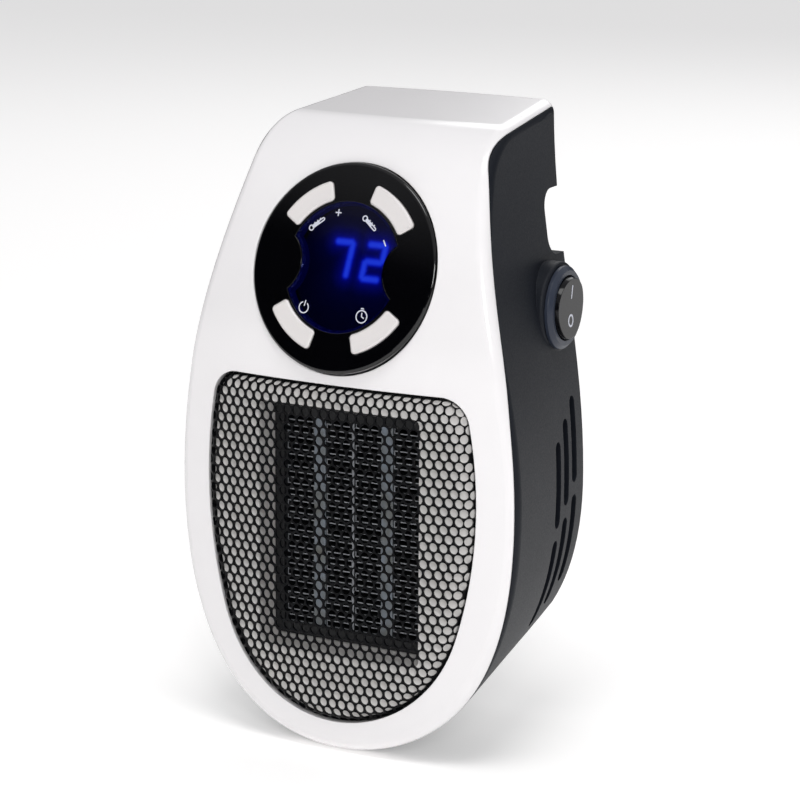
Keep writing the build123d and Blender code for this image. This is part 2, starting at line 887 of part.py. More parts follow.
# Keys: rounded sectors with a bevelled edge, a retaining flange and a stem to their switch
key_names = ("button_temp_up", "button_temp_down", "button_power", "button_timer")
stem_ring = (key_inner + key_outer) / 2
for name, centre in zip(key_names, key_centres):
    with BuildPart() as key:
        with BuildSketch(panel_plane.offset(-panel_plate - seat)) as cap_face:
            with BuildLine():
                arc_out = CenterArc(
                    (0, 0), key_outer - key_gap, centre - key_spread_small / 2, key_spread_small
                )
                arc_in = CenterArc(
                    (0, 0), key_inner + key_gap, centre - key_spread_small / 2, key_spread_small
                )
                Line(arc_out @ 0, arc_in @ 0)
                Line(arc_out @ 1, arc_in @ 1)
            make_face()
            fillet(cap_face.vertices(), radius=key_corner - key_gap)
        extrude(amount=panel_plate + key_proud)
        chamfer(key.edges().group_by(normal_axis)[-1], length=key_chamfer)
        with BuildSketch(panel_plane.offset(-panel_plate - seat)) as flange_face:
            with BuildLine():
                arc_out = CenterArc(
                    (0, 0), key_outer + key_flange, centre - key_spread / 2, key_spread
                )
                arc_in = CenterArc(
                    (0, 0), key_inner - key_flange, centre - key_spread / 2, key_spread
                )
                Line(arc_out @ 0, arc_in @ 0)
                Line(arc_out @ 1, arc_in @ 1)
            make_face()
        extrude(amount=-key_flange_thick)
        with BuildSketch(panel_plane.offset(-panel_plate - seat - key_flange_thick)):
            with Locations(
                (stem_ring * cos(radians(centre)), stem_ring * sin(radians(centre)))
            ):
                Circle(stem_radius)
        extrude(amount=-stem_length)
    save(key, name)

# Control board with four tact switches and the display module
board_face = panel_depth + cup_floor + seat
tact_places = [
    (stem_ring * cos(radians(centre)), stem_ring * sin(radians(centre))) for centre in key_centres
]
board_screws = [
    (board_screw_radius * cos(radians(angle)), board_screw_radius * sin(radians(angle)))
    for angle in (45, 135, 225, 315)
]
with BuildPart() as control_board:
    with BuildSketch(panel_plane.offset(-board_face - board_thick)):
        Circle(board_radius)
        with Locations(*board_screws):
            Circle(small_screw_radius + slip, mode=Mode.SUBTRACT)
    extrude(amount=board_thick)
save(control_board, "control_board")

with BuildPart() as tact_switches:
    with BuildSketch(panel_plane.offset(-board_face)):
        for (x, y), centre in zip(tact_places, key_centres):
            with Locations((x, y)):
                Rectangle(tact_size, tact_size, rotation=centre)
    extrude(amount=tact_height)
    with BuildSketch(panel_plane.offset(-board_face + tact_height)):
        with Locations(*tact_places):
            Circle(stem_radius + slip)
    extrude(amount=-tact_bore, mode=Mode.SUBTRACT)
save(tact_switches, "tact_switches")

with BuildPart() as display_module:
    with BuildSketch(panel_plane.offset(-board_face)):
        with Locations((0, display_z_offset)):
            Rectangle(display_width, display_height)
    extrude(amount=board_face - display_depth)
save(display_module, "display_module")


with BuildPart() as control_board_screws:
    for x, y in board_screws:
        seat_place = panel_plane * Location((x, y, -board_face - board_thick - seat))
        with BuildSketch(Plane(seat_place)):
            Circle(small_head_radius)
        extrude(amount=-small_head)
        with BuildSketch(Plane(seat_place)):
            Circle(small_screw_radius)
        extrude(amount=board_thick + seat + board_screw_bite)
save(control_board_screws, "control_board_screws")

# Grille: drawn sheet with a rounded edge; its holes are left out of this solid
with BuildPart() as grille_inner:
    outlet_prism(-easy - grille_sheet, collar_back_y + overrun, outline_y - overrun)
    crown_cylinder(crown_radius + grille_proud - grille_sheet)
    fillet(grille_inner.faces().sort_by(Axis.Y)[0].edges(), radius=grille_round - grille_sheet)
with BuildPart() as grille:
    outlet_prism(-easy, collar_back_y - seat, outline_y - overrun)
    crown_cylinder(crown_radius + grille_proud)
    fillet(grille.faces().sort_by(Axis.Y)[0].edges(), radius=grille_round)
    add(grille_inner.part, mode=Mode.SUBTRACT)
save(grille, "grille")

# Outlet duct: crowned frame behind the grille, tapered well, straight duct to the fan


def rounded_prism(width, height, from_y, to_y, corner, mode=Mode.ADD):
    """Upright rounded box around the heater's axis, between two planes."""
    with BuildPart(mode=Mode.PRIVATE) as prism:
        with BuildSketch(across(from_y)):
            with Locations((0, heater_z)):
                RectangleRounded(width, height, corner)
        extrude(amount=from_y - to_y)
    add(prism.part, mode=mode)


def tapered_prism(growth, mode=Mode.ADD):
    """Well that narrows from the front of the frame to the heater."""
    with BuildPart(mode=Mode.PRIVATE) as well:
        with BuildSketch(across(outline_y)):
            with Locations((0, heater_z)):
                RectangleRounded(well_width + 2 * growth, well_height + 2 * growth, well_corner)
        with BuildSketch(across(duct_well_y)):
            with Locations((0, heater_z)):
                RectangleRounded(
                    heater_width + 2 * easy + 2 * growth,
                    heater_height + 2 * easy + 2 * growth,
                    well_corner,
                )
        loft()
    add(well.part, mode=mode)


with BuildPart() as duct_cap:
    outlet_prism(-duct_fit, duct_flange_y, outline_y - overrun)
    crown_cylinder(crown_radius - duct_inset)
with BuildPart() as duct_hollow:
    outlet_prism(-duct_fit - duct_wall, duct_flange_y + overrun, outline_y - overrun)
    crown_cylinder(crown_radius - duct_inset - duct_wall)
with BuildPart() as outlet_duct:
    add(duct_cap.part)
    add(duct_hollow.part, mode=Mode.SUBTRACT)
    # flange with four screw ears
    with BuildSketch(across(duct_flange_y)):
        outlet_face(-duct_fit)
        for x, z in ears:
            with Locations((x, z)):
                Circle(ear_radius_duct)
            with Locations((x / 2, z)):
                Rectangle(abs(x), 2 * ear_radius_duct)
        with BuildSketch() as opening:
            add(outlet.sketch_local)
            offset(amount=-duct_fit - duct_ring)
        add(opening.sketch_local, mode=Mode.SUBTRACT)
    extrude(amount=-duct_flange)
    # room for the foot of the housing
    with BuildSketch(across(duct_end_y)):
        with Locations((0, duct_low_z)):
            Rectangle(4 * front_half_width, 2 * case_depth, align=(Align.CENTER, Align.MAX))
    extrude(amount=duct_end_y - duct_low_y, mode=Mode.SUBTRACT)
    # well and straight duct
    with BuildPart(mode=Mode.PRIVATE) as well_walls:
        tapered_prism(duct_wall)
        crown_cylinder(crown_radius - duct_inset)
    add(well_walls.part)
    rounded_prism(
        heater_width + 2 * easy + 2 * duct_wall,
        heater_height + 2 * easy + 2 * duct_wall,
        duct_end_y,
        duct_well_y,
        well_corner,
    )
    tapered_prism(0, mode=Mode.SUBTRACT)
    rounded_prism(
        heater_width + 2 * easy,
        heater_height + 2 * easy,
        duct_end_y + overrun,
        duct_well_y,
        well_corner,
        mode=Mode.SUBTRACT,
    )
    with BuildSketch(across(duct_flange_y + overrun)):
        with Locations(*ears):
            Circle(small_screw_radius + slip)
    extrude(amount=duct_flange + 2 * overrun, mode=Mode.SUBTRACT)
    # slots for the heater's terminals, open towards the fan
    with BuildSketch(across(duct_end_y + overrun)):
        for hand in (1, -1):
            with Locations((hand * terminal_x, heater_z + heater_height / 2)):
                Rectangle(terminal_thick + 2 * easy, 4 * duct_wall)
    extrude(
        amount=overrun + terminal_width / 2 + easy - heater_mid_y + duct_end_y,
        mode=Mode.SUBTRACT,
    )
save(outlet_duct, "outlet_duct")

with BuildPart() as duct_screws:
    for x, z in ears:
        with BuildSketch(across(duct_flange_y + duct_flange + seat)):
            with Locations((x, z)):
                Circle(small_head_radius)
        extrude(amount=-small_head)
        with BuildSketch(across(duct_flange_y + duct_flange + seat)):
            with Locations((x, z)):
                Circle(small_screw_radius)
        extrude(amount=duct_flange + 2 * seat + duct_screw_bite)
save(duct_screws, "duct_screws")

# Heater block: metal rim, two heating bars, corrugated fins, thin divider, two terminals
inner_half = heater_width / 2 - heater_rim
inner_height = heater_height - 2 * heater_rim
with BuildPart() as heater_frame:
    with BuildSketch(across(heater_front_y + heater_depth)):
        with Locations((0, heater_z)):
            RectangleRounded(heater_width, heater_height, well_corner / 2)
            Rectangle(2 * inner_half, inner_height, mode=Mode.SUBTRACT)
    extrude(amount=heater_depth)
    with BuildSketch(across(heater_mid_y + terminal_width / 2 + easy)):
        for hand in (1, -1):
            with Locations((hand * terminal_x, heater_z + heater_height / 2)):
                Rectangle(terminal_thick + 2 * easy, 4 * heater_rim)
    extrude(amount=terminal_width + 2 * easy, mode=Mode.SUBTRACT)
save(heater_frame, "heater_frame")

core_depth = heater_depth - 2 * core_inset
core_back_y = heater_front_y + heater_depth - core_inset
with BuildPart() as heater_bars:
    with BuildSketch(across(core_back_y)):
        with Locations((-bar_x, heater_z), (bar_x, heater_z)):
            Rectangle(bar_width, inner_height - 2 * seat)
    extrude(amount=core_depth)
save(heater_bars, "heater_bars")

with BuildPart() as heater_divider:
    with BuildSketch(across(core_back_y)):
        with Locations((0, heater_z)):
            Rectangle(divider_thick, inner_height - 2 * seat)
    extrude(amount=core_depth)
save(heater_divider, "heater_divider")

fin_count = int((inner_height - 2 * seat) / fin_pitch)
fin_strips = (
    (divider_thick / 2 + seat, bar_x - bar_width / 2 - seat),
    (bar_x + bar_width / 2 + seat, inner_half - seat),
)
# each strip is one folded sheet: level runs joined at alternate ends
with BuildPart() as heater_fins:
    for near, far in fin_strips:
        for hand in (1, -1):
            runs = [
                (hand * (near + far) / 2, heater_z + (step - fin_count / 2) * fin_pitch)
                for step in range(fin_count + 1)
            ]
            turns = [
                (
                    hand * (near + fin_sheet / 2 if step % 2 else far - fin_sheet / 2),
                    heater_z + (step - fin_count / 2 + 1 / 2) * fin_pitch,
                )
                for step in range(fin_count)
            ]
            with BuildSketch(across(core_back_y - fin_inset)):
                with Locations(*runs):
                    Rectangle(far - near, fin_sheet)
                with Locations(*turns):
                    Rectangle(fin_sheet, fin_pitch)
            extrude(amount=core_depth - 2 * fin_inset)
save(heater_fins, "heater_fins")

with BuildPart() as heater_terminals:
    for hand in (1, -1):
        with BuildSketch(Plane.YZ.offset(hand * terminal_x - terminal_thick / 2)):
            with Locations((heater_mid_y, heater_z + inner_height / 2 + seat / 2)):
                Rectangle(
                    terminal_width, terminal_rise + heater_rim, align=(Align.CENTER, Align.MIN)
                )
        extrude(amount=terminal_thick)
save(heater_terminals, "heater_terminals")

# Thermal cut-off on the roof of the duct, between the terminals
duct_roof_z = heater_z + heater_height / 2 + easy + duct_wall
with BuildPart() as thermal_cutoff:
    with BuildSketch(Plane.XY.offset(duct_roof_z + seat)):
        with Locations((0, heater_mid_y)):
            RectangleRounded(cutoff_width, cutoff_height, cutoff_corner)
    extrude(amount=cutoff_thick)
save(thermal_cutoff, "thermal_cutoff")

# Fan: square plate with a round venturi, struts at the rear and a bearing tube
fan_back_y = fan_front_y + fan_depth
fan_axis = Axis((0, 0, fan_z), (0, 1, 0))
with BuildPart() as fan_shroud:
    with BuildSketch(across(fan_front_y + fan_plate)):
        with Locations((0, fan_z)):
            RectangleRounded(fan_plate_width, fan_plate_height, fan_plate_corner)
            Circle(fan_bore, mode=Mode.SUBTRACT)
    extrude(amount=fan_plate)
    with BuildSketch(across(fan_back_y)):
        with Locations((0, fan_z)):
            Circle(fan_bore + fan_ring)
            Circle(fan_bore, mode=Mode.SUBTRACT)
    extrude(amount=fan_depth)
    with BuildSketch(across(fan_back_y)):
        with Locations((0, fan_z)):
            Circle(fan_hub_radius)
            for angle in (45, 165, 285):
                with Locations(
                    (
                        (fan_bore + fan_hub_radius) / 2 * cos(radians(angle)),
                        (fan_bore + fan_hub_radius) / 2 * sin(radians(angle)),
                    )
                ):
                    Rectangle(fan_bore - fan_hub_radius + fan_ring, strut_width, rotation=angle)
    extrude(amount=strut_thick)
    # ears down to the posts of the housing
    with BuildSketch(across(fan_back_y)):
        with Locations(*fan_posts):
            Circle(fan_ear_radius)
    extrude(amount=fan_depth)
    with BuildSketch(across(fan_back_y - strut_thick)):
        with Locations((0, fan_z)):
            Circle(bearing_radius + bearing_wall)
    extrude(amount=bearing_rise)
    with BuildSketch(across(fan_back_y - bearing_floor)):
        with Locations((0, fan_z)):
            Circle(bearing_radius)
    extrude(amount=fan_depth, mode=Mode.SUBTRACT)
    with BuildSketch(across(fan_back_y + overrun)):
        with Locations(*fan_posts):
            Circle(small_screw_radius + slip)
    extrude(amount=fan_depth + 2 * overrun, mode=Mode.SUBTRACT)
    with BuildSketch(across(fan_back_y - fan_screw_floor)):
        with Locations(*fan_posts):
            Circle(small_head_radius + slip)
    extrude(amount=fan_depth, mode=Mode.SUBTRACT)
save(fan_shroud, "fan_shroud")

hub_front_y = fan_front_y + hub_inset
with BuildPart() as one_blade:
    with BuildSketch(
        Plane(origin=(fan_hub_radius - fan_hub_wall, hub_mid_y, fan_z), x_dir=(0, 1, 0), z_dir=(1, 0, 0))
    ):
        Rectangle(blade_chord, blade_thick, rotation=90 - blade_root_angle)
    with BuildSketch(Plane(origin=(fan_bore, hub_mid_y, fan_z), x_dir=(0, 1, 0), z_dir=(1, 0, 0))):
        Rectangle(blade_chord, blade_thick, rotation=90 - blade_tip_angle)
    loft()
with BuildPart() as fan_impeller:
    for index in range(fan_blades):
        add(one_blade.part.rotate(fan_axis, index * 360 / fan_blades))
    with BuildPart(mode=Mode.INTERSECT):
        with BuildSketch(across(fan_back_y)):
            with Locations((0, fan_z)):
                Circle(fan_bore - fan_tip_gap)
        extrude(amount=fan_depth)
    with BuildSketch(across(hub_front_y + hub_depth)):
        with Locations((0, fan_z)):
            Circle(fan_hub_radius)
    extrude(amount=hub_depth)
    fillet(fan_impeller.faces().sort_by(Axis.Y)[0].edges(), radius=hub_round)
    with BuildSketch(across(hub_front_y + hub_depth + overrun)):
        with Locations((0, fan_z)):
            Circle(fan_hub_radius - fan_hub_wall)
    extrude(amount=hub_depth + overrun - fan_hub_wall, mode=Mode.SUBTRACT)
    with BuildSketch(across(hub_front_y + fan_hub_wall + hub_sleeve)):
        with Locations((0, fan_z)):
            Circle(shaft_radius + hub_sleeve_wall)
    extrude(amount=hub_sleeve + fan_hub_wall / 2)
    with BuildSketch(across(hub_front_y + fan_hub_wall + hub_sleeve + overrun)):
        with Locations((0, fan_z)):
            Circle(shaft_radius)
    extrude(amount=hub_sleeve + overrun + fan_hub_wall / 2, mode=Mode.SUBTRACT)
save(fan_impeller, "fan_impeller")

shaft_back_y = fan_back_y - bearing_floor - shaft_clearance
with BuildPart() as fan_shaft:
    with BuildSketch(across(shaft_back_y)):
        with Locations((0, fan_z)):
            Circle(shaft_radius)
    extrude(amount=shaft_back_y - hub_front_y - fan_hub_wall / 2)
save(fan_shaft, "fan_shaft")

bearing_front_y = fan_back_y - strut_thick - bearing_rise
with BuildPart() as fan_bearing:
    with BuildSketch(across(fan_back_y - bearing_floor)):
        with Locations((0, fan_z)):
            Circle(bearing_radius)
            Circle(shaft_radius + slip, mode=Mode.SUBTRACT)
    extrude(amount=fan_back_y - bearing_floor - bearing_front_y)
save(fan_bearing, "fan_bearing")

with BuildPart() as fan_stator:
    with BuildSketch(across(bearing_front_y + stator_inset + stator_depth)):
        with Locations((0, fan_z)):
            Circle(stator_radius)
            Circle(bearing_radius + bearing_wall, mode=Mode.SUBTRACT)
            with PolarLocations(stator_radius, 4):
                Rectangle(stator_notch, stator_notch, mode=Mode.SUBTRACT)
    extrude(amount=stator_depth)
save(fan_stator, "fan_stator")

with BuildPart() as fan_screws:
    for x, z in fan_posts:
        with BuildSketch(across(fan_back_y - fan_screw_floor)):
            with Locations((x, z)):
                Circle(small_head_radius)
        extrude(amount=small_head)
        with BuildSketch(across(fan_back_y - fan_screw_floor)):
            with Locations((x, z)):
                Circle(small_screw_radius)
        extrude(amount=-fan_screw_length)
save(fan_screws, "fan_screws")

# Power board with its parts, behind the control panel
power_front_y = power_y - seat
part_back_y = power_front_y - board_thick
power_mid_z = (power_top_z + power_bottom_z) / 2
with BuildPart() as power_board:
    with BuildSketch(across(power_front_y)):
        with Locations((0, power_mid_z)):
            RectangleRounded(power_width, power_top_z - power_bottom_z, power_corner)
        with Locations(*power_posts):
            Circle(small_screw_radius + slip, mode=Mode.SUBTRACT)
    extrude(amount=board_thick)
save(power_board, "power_board")

with BuildPart() as power_board_parts:
    # relay and transformer
    for x, z, width, height, depth in (
        (relay_x, relay_z, relay_width, relay_height, relay_depth),
        (core_x, core_z, core_width, core_height, core_tall),
        (block_x, block_z, block_width, block_height, block_depth),
    ):
        with BuildSketch(across(part_back_y)):
            with Locations((x, z)):
                Rectangle(width, height)
        extrude(amount=depth)
    # capacitors
    with BuildSketch(across(part_back_y)):
        with Locations((can_x, can_z), (can_x, can_z - can_step)):
            Circle(can_radius)
    extrude(amount=can_tall)
save(power_board_parts, "power_board_parts")

with BuildPart() as power_board_screws:
    for x, z in power_posts:
        with BuildSketch(across(part_back_y - seat)):
            with Locations((x, z)):
                Circle(small_head_radius)
        extrude(amount=small_head)
        with BuildSketch(across(part_back_y - seat)):
            with Locations((x, z)):
                Circle(small_screw_radius)
        extrude(amount=-board_screw_reach)
save(power_board_screws, "power_board_screws")

# Rocker switch: bevelled bezel with a round barrel, key, three spade terminals
switch_axis = Axis(switch_plane.origin, switch_plane.z_dir)
with BuildPart() as rocker_housing:
    with BuildSketch(switch_plane.offset(seat)):
        Circle(bezel_radius)
    extrude(amount=bezel_thick)
    chamfer(rocker_housing.edges().group_by(switch_axis)[-1], length=bezel_chamfer)
    with BuildSketch(switch_plane.offset(seat)):
        Circle(barrel_radius)
    extrude(amount=-barrel_depth)
    with BuildSketch(switch_plane.offset(-barrel_depth + barrel_floor)):
        Circle(barrel_bore)
    extrude(amount=barrel_depth + overrun, mode=Mode.SUBTRACT)
    # bearing holes for the rocker's pins
    with BuildSketch(
        Plane(
            origin=switch_plane.origin + switch_plane.z_dir * pivot_height,
            x_dir=(0, 0, 1),
            z_dir=switch_plane.x_dir,
        )
    ):
        Circle(pivot_pin + slip)
    extrude(amount=barrel_radius - pin_skin, both=True, mode=Mode.SUBTRACT)
    # slots for the terminals in the barrel's floor
    with BuildSketch(switch_plane.offset(-barrel_depth)):
        with Locations((0, -spade_step), (0, 0), (0, spade_step)):
            Rectangle(spade_width + 2 * slip, spade_thick + 2 * slip)
    extrude(amount=barrel_floor + overrun, mode=Mode.SUBTRACT)
save(rocker_housing, "rocker_housing")

pivot_point = switch_plane.origin + switch_plane.z_dir * pivot_height
pivot_plane = Plane(origin=pivot_point, x_dir=switch_plane.x_dir, z_dir=switch_plane.z_dir)
face_plane = pivot_plane.rotated((-rocker_tilt, 0, 0))
with BuildPart() as rocker_key:
    with Locations(pivot_plane):
        Sphere(rocker_swing_radius)
    with BuildPart(mode=Mode.INTERSECT):
        with BuildSketch(face_plane.offset(-rocker_root)):
            Circle(rocker_radius)
        extrude(amount=rocker_root + rocker_face)
    # slightly hollow face
    with BuildPart(mode=Mode.SUBTRACT):
        with Locations(
            face_plane * Location((0, 0, rocker_face + rocker_hollow - rocker_dish), (0, 90, 0))
        ):
            Cylinder(rocker_hollow, 4 * rocker_radius)
    with BuildSketch(
        Plane(origin=pivot_point, x_dir=(0, 0, 1), z_dir=switch_plane.x_dir)
    ):
        Circle(pivot_pin)
    extrude(amount=barrel_radius - 2 * pin_skin, both=True)
save(rocker_key, "rocker_key")

with BuildPart() as switch_terminals:
    with BuildSketch(switch_plane.offset(-barrel_depth + barrel_floor)):
        with Locations((0, -spade_step), (0, 0), (0, spade_step)):
            Rectangle(spade_width, spade_thick)
    extrude(amount=-barrel_floor - spade_length)
save(switch_terminals, "switch_terminals")

# Plug: round base that turns in the back wall, two blades, contact rings
flange_back_y = inner_back_y - seat
flange_front_y = flange_back_y - dial_flange
prong_rear_y = flange_front_y
with BuildPart() as plug_dial:
    with BuildSketch(across(0)):
        Circle(dial_hub_radius)
    extrude(amount=-flange_back_y)
    with BuildSketch(across(flange_back_y)):
        Circle(dial_radius)
        with Locations((0, -tab_radius / 2)):
            Rectangle(tab_width, tab_radius)
    extrude(amount=dial_flange)
    with BuildSketch(across(overrun)):
        for hand, width in ((1, prong_live_width), (-1, prong_neutral_width)):
            with Locations((hand * blade_spacing / 2, 0)):
                Rectangle(prong_thick + 2 * slip, width + 2 * slip)
    extrude(amount=4 * overrun, mode=Mode.SUBTRACT)
save(plug_dial, "plug_dial")

with BuildPart() as plug_blades:
    with BuildSketch(across(prong_length)):
        for hand, width in ((1, prong_live_width), (-1, prong_neutral_width)):
            with Locations((hand * blade_spacing / 2, 0)):
                Rectangle(prong_thick, width)
    extrude(amount=prong_length - prong_rear_y)
    chamfer(
        plug_blades.edges().filter_by(Axis.Z).group_by(Axis.Y)[-1],
        length=prong_chamfer,
    )
    with BuildSketch(Plane.YZ.offset(-blade_spacing)):
        with Locations((prong_hole_y, 0)):
            Circle(prong_hole_radius)
    extrude(amount=2 * blade_spacing, mode=Mode.SUBTRACT)
save(plug_blades, "plug_blades")

with BuildPart() as plug_contacts:
    with BuildSketch(across(flange_front_y)):
        Circle(inner_contact + contact_width / 2)
        Circle(inner_contact - contact_width / 2, mode=Mode.SUBTRACT)
        with Locations((inner_contact, 0)):
            Rectangle(
                blade_spacing / 2 + prong_thick / 2 - inner_contact,
                contact_width,
                align=(Align.MIN, Align.CENTER),
            )
    extrude(amount=contact_thick)
    with BuildSketch(across(flange_front_y)):
        Circle(outer_contact + contact_width / 2)
        Circle(outer_contact - contact_width / 2, mode=Mode.SUBTRACT)
        with Locations((-outer_contact, 0)):
            Rectangle(
                outer_contact - blade_spacing / 2 + prong_thick / 2,
                contact_width,
                align=(Align.MIN, Align.CENTER),
            )
    extrude(amount=contact_thick)
save(plug_contacts, "plug_contacts")

# Retainer: plate over the dial's flange, with a bridge that holds the sprung contacts
retainer_back_y = flange_front_y - seat
with BuildPart() as plug_retainer:
    with BuildSketch(across(retainer_back_y)):
        Circle(dial_radius - ring_wall / 2)
        for (x, z), angle in zip(retainer_posts, retainer_angles):
            with Locations((x, z)):
                Circle(ear_radius)
            with Locations((x * retainer_arm_share, z * retainer_arm_share)):
                Rectangle(3 * ear_radius, 2 * ear_radius, rotation=angle)
        Circle(retainer_bore, mode=Mode.SUBTRACT)
    extrude(amount=retainer_thick)
    with BuildSketch(across(retainer_back_y - contact_thick - bridge_rise)):
        Rectangle(2 * retainer_bore + 2 * ring_wall, bridge_width)
    extrude(amount=retainer_thick)
    for hand in (1, -1):
        with BuildSketch(across(retainer_back_y)):
            with Locations((hand * (retainer_bore + ring_wall / 2), 0)):
                Rectangle(ring_wall, bridge_width)
        extrude(amount=contact_thick + bridge_rise + retainer_thick)
    with BuildSketch(across(retainer_back_y)):
        with Locations((-inner_contact, 0), (outer_contact, 0)):
            Circle(brush_radius + slip)
        with Locations(*retainer_posts):
            Circle(small_screw_radius + slip)
    extrude(amount=2 * overrun, mode=Mode.SUBTRACT)
save(plug_retainer, "plug_retainer")

brush_back_y = flange_front_y - contact_thick - slip
with BuildPart() as plug_brushes:
    with BuildSketch(across(brush_back_y)):
        with Locations((-inner_contact, 0), (outer_contact, 0)):
            Circle(brush_radius)
    extrude(amount=brush_length)
    with BuildSketch(across(brush_back_y - brush_collar)):
        with Locations((-inner_contact, 0), (outer_contact, 0)):
            Circle(brush_radius + brush_collar)
    extrude(amount=brush_collar)
save(plug_brushes, "plug_brushes")

with BuildPart() as retainer_screws:
    for x, z in retainer_posts:
        with BuildSketch(across(retainer_back_y - retainer_thick - seat)):
            with Locations((x, z)):
                Circle(small_head_radius)
        extrude(amount=small_head)
        with BuildSketch(across(retainer_back_y - retainer_thick - seat)):
            with Locations((x, z)):
                Circle(small_screw_radius)
        extrude(amount=-retainer_thick - retainer_bite - seat)
save(retainer_screws, "retainer_screws")

# Case screws, put in from behind
with BuildPart() as case_screws:
    for places, seat_y, length in (
        (top_posts, top_seat_y, top_screw_length),
        (low_posts, low_seat_y, low_screw_length),
    ):
        for x, z in places:
            with BuildSketch(across(seat_y + seat)):
                with Locations((x, z)):
                    Circle(screw_head_radius)
            extrude(amount=-screw_head)
            with BuildSketch(across(seat_y + seat)):
                with Locations((x, z)):
                    Circle(screw_radius - slip)
            extrude(amount=length)
save(case_screws, "case_screws")


def lead(name, routes, radius, bend):
    """Insulated leads along rounded routes, one node."""
    with BuildPart() as run:
        for route in routes:
            with BuildPart(mode=Mode.PRIVATE) as wire:
                with BuildLine() as path:
                    FilletPolyline(*route, radius=bend)
                with BuildSketch(Plane(origin=path.line @ 0, z_dir=path.line % 0)):
                    Circle(radius)
                sweep(path=path.line)
            add(wire.part)
    save(run, name)


spade_tip = switch_plane.origin - switch_plane.z_dir * (barrel_depth + spade_length + seat)
spades = [spade_tip + Vector(0, 0, step * spade_step) for step in (1, 0, -1)]
brush_front_y = brush_back_y - brush_length
loop_y = brush_front_y - lead_rise
lead(
    "lead_plug_to_switch",
    [
        [
            (outer_contact, brush_front_y, 0),
            (outer_contact, loop_y, 0),
            (outer_contact, spades[0].Y, spades[0].Z),
            (spades[0].X, spades[0].Y, spades[0].Z),
        ],
    ],
    lead_radius,
    lead_bend,
)
lead(
    "lead_switch_to_board",
    [
        [
            (spades[1].X, spades[1].Y, spades[1].Z),
            (spades[1].X - lead_run, spades[1].Y, spades[1].Z),
            (spades[1].X - lead_run, power_y, spades[1].Z),
        ],
    ],
    lead_radius,
    lead_bend,
)
lead(
    "lead_plug_to_board",
    [
        [
            (-inner_contact, brush_front_y, 0),
            (-inner_contact, loop_y, 0),
            (-inner_contact, loop_y, lead_run),
            (-inner_contact, power_y, lead_run),
        ],
    ],
    lead_radius,
    lead_bend,
)
block_front_y = part_back_y - block_depth - seat
terminal_top_z = heater_z + inner_height / 2 + heater_rim + terminal_rise + 2 * seat
lead(
    "leads_heater",
    [
        [
            (hand * terminal_x, block_front_y, block_z),
            (hand * terminal_x, block_front_y - heater_lead_rise, block_z),
            (hand * terminal_x, heater_mid_y, terminal_top_z + heater_lead_drop),
            (hand * terminal_x, heater_mid_y, terminal_top_z),
        ]
        for hand in (1, -1)
    ],
    lead_radius,
    lead_bend,
)
lead(
    "leads_fan",
    [
        [
            (hand * fan_lead_x, fan_back_y + seat, fan_z + fan_lead_z),
            (hand * fan_lead_x, fan_back_y + seat + fan_lead_rise, fan_z + fan_lead_z),
            (hand * fan_lead_x, fan_back_y + seat + fan_lead_rise, power_bottom_z + fan_lead_z),
            (hand * fan_lead_x, power_y, power_bottom_z + fan_lead_z),
        ]
        for hand in (1, -1)
    ],
    thin_lead_radius,
    lead_bend,
)
board_back = panel_plane * Location((0, ribbon_b, -board_face - board_thick - seat))
ribbon_start = board_back.position
ribbon_turn = (panel_plane * Location((0, ribbon_b, -board_face - board_thick - ribbon_rise))).position
lead(
    "leads_panel",
    [
        [
            (x, ribbon_start.Y, ribbon_start.Z),
            (x, ribbon_turn.Y, ribbon_turn.Z),
            (x, part_back_y - ribbon_rise, ribbon_land_z),
            (x, part_back_y - seat, ribbon_land_z),
        ]
        for x in (ribbon_x, ribbon_x + ribbon_pitch, ribbon_x + 2 * ribbon_pitch)
    ],
    ribbon_radius,
    lead_bend,
)
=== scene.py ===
from math import cos, exp, hypot, pi, radians, sin

import bmesh
import bpy
from mathutils import Matrix, Vector
from mathutils.bvhtree import BVHTree


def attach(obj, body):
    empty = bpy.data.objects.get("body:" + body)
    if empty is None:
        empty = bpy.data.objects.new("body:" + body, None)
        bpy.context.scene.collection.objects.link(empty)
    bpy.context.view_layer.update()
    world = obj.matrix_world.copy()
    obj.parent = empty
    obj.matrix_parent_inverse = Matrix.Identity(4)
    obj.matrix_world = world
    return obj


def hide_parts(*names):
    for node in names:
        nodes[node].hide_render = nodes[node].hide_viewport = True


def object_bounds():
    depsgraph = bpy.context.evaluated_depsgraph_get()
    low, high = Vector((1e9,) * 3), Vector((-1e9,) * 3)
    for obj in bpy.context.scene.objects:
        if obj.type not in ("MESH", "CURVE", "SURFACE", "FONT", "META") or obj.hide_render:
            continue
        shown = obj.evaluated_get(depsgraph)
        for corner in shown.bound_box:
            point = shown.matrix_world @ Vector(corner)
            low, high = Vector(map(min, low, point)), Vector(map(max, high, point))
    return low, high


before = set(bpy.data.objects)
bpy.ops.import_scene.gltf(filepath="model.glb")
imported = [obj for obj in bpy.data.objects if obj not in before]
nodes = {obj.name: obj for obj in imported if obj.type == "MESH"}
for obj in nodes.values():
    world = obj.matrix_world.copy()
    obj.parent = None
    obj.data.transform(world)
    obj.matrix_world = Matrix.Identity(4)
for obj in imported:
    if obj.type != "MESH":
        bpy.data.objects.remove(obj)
cad_box = [list(corner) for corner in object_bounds()]
mm = 0.001


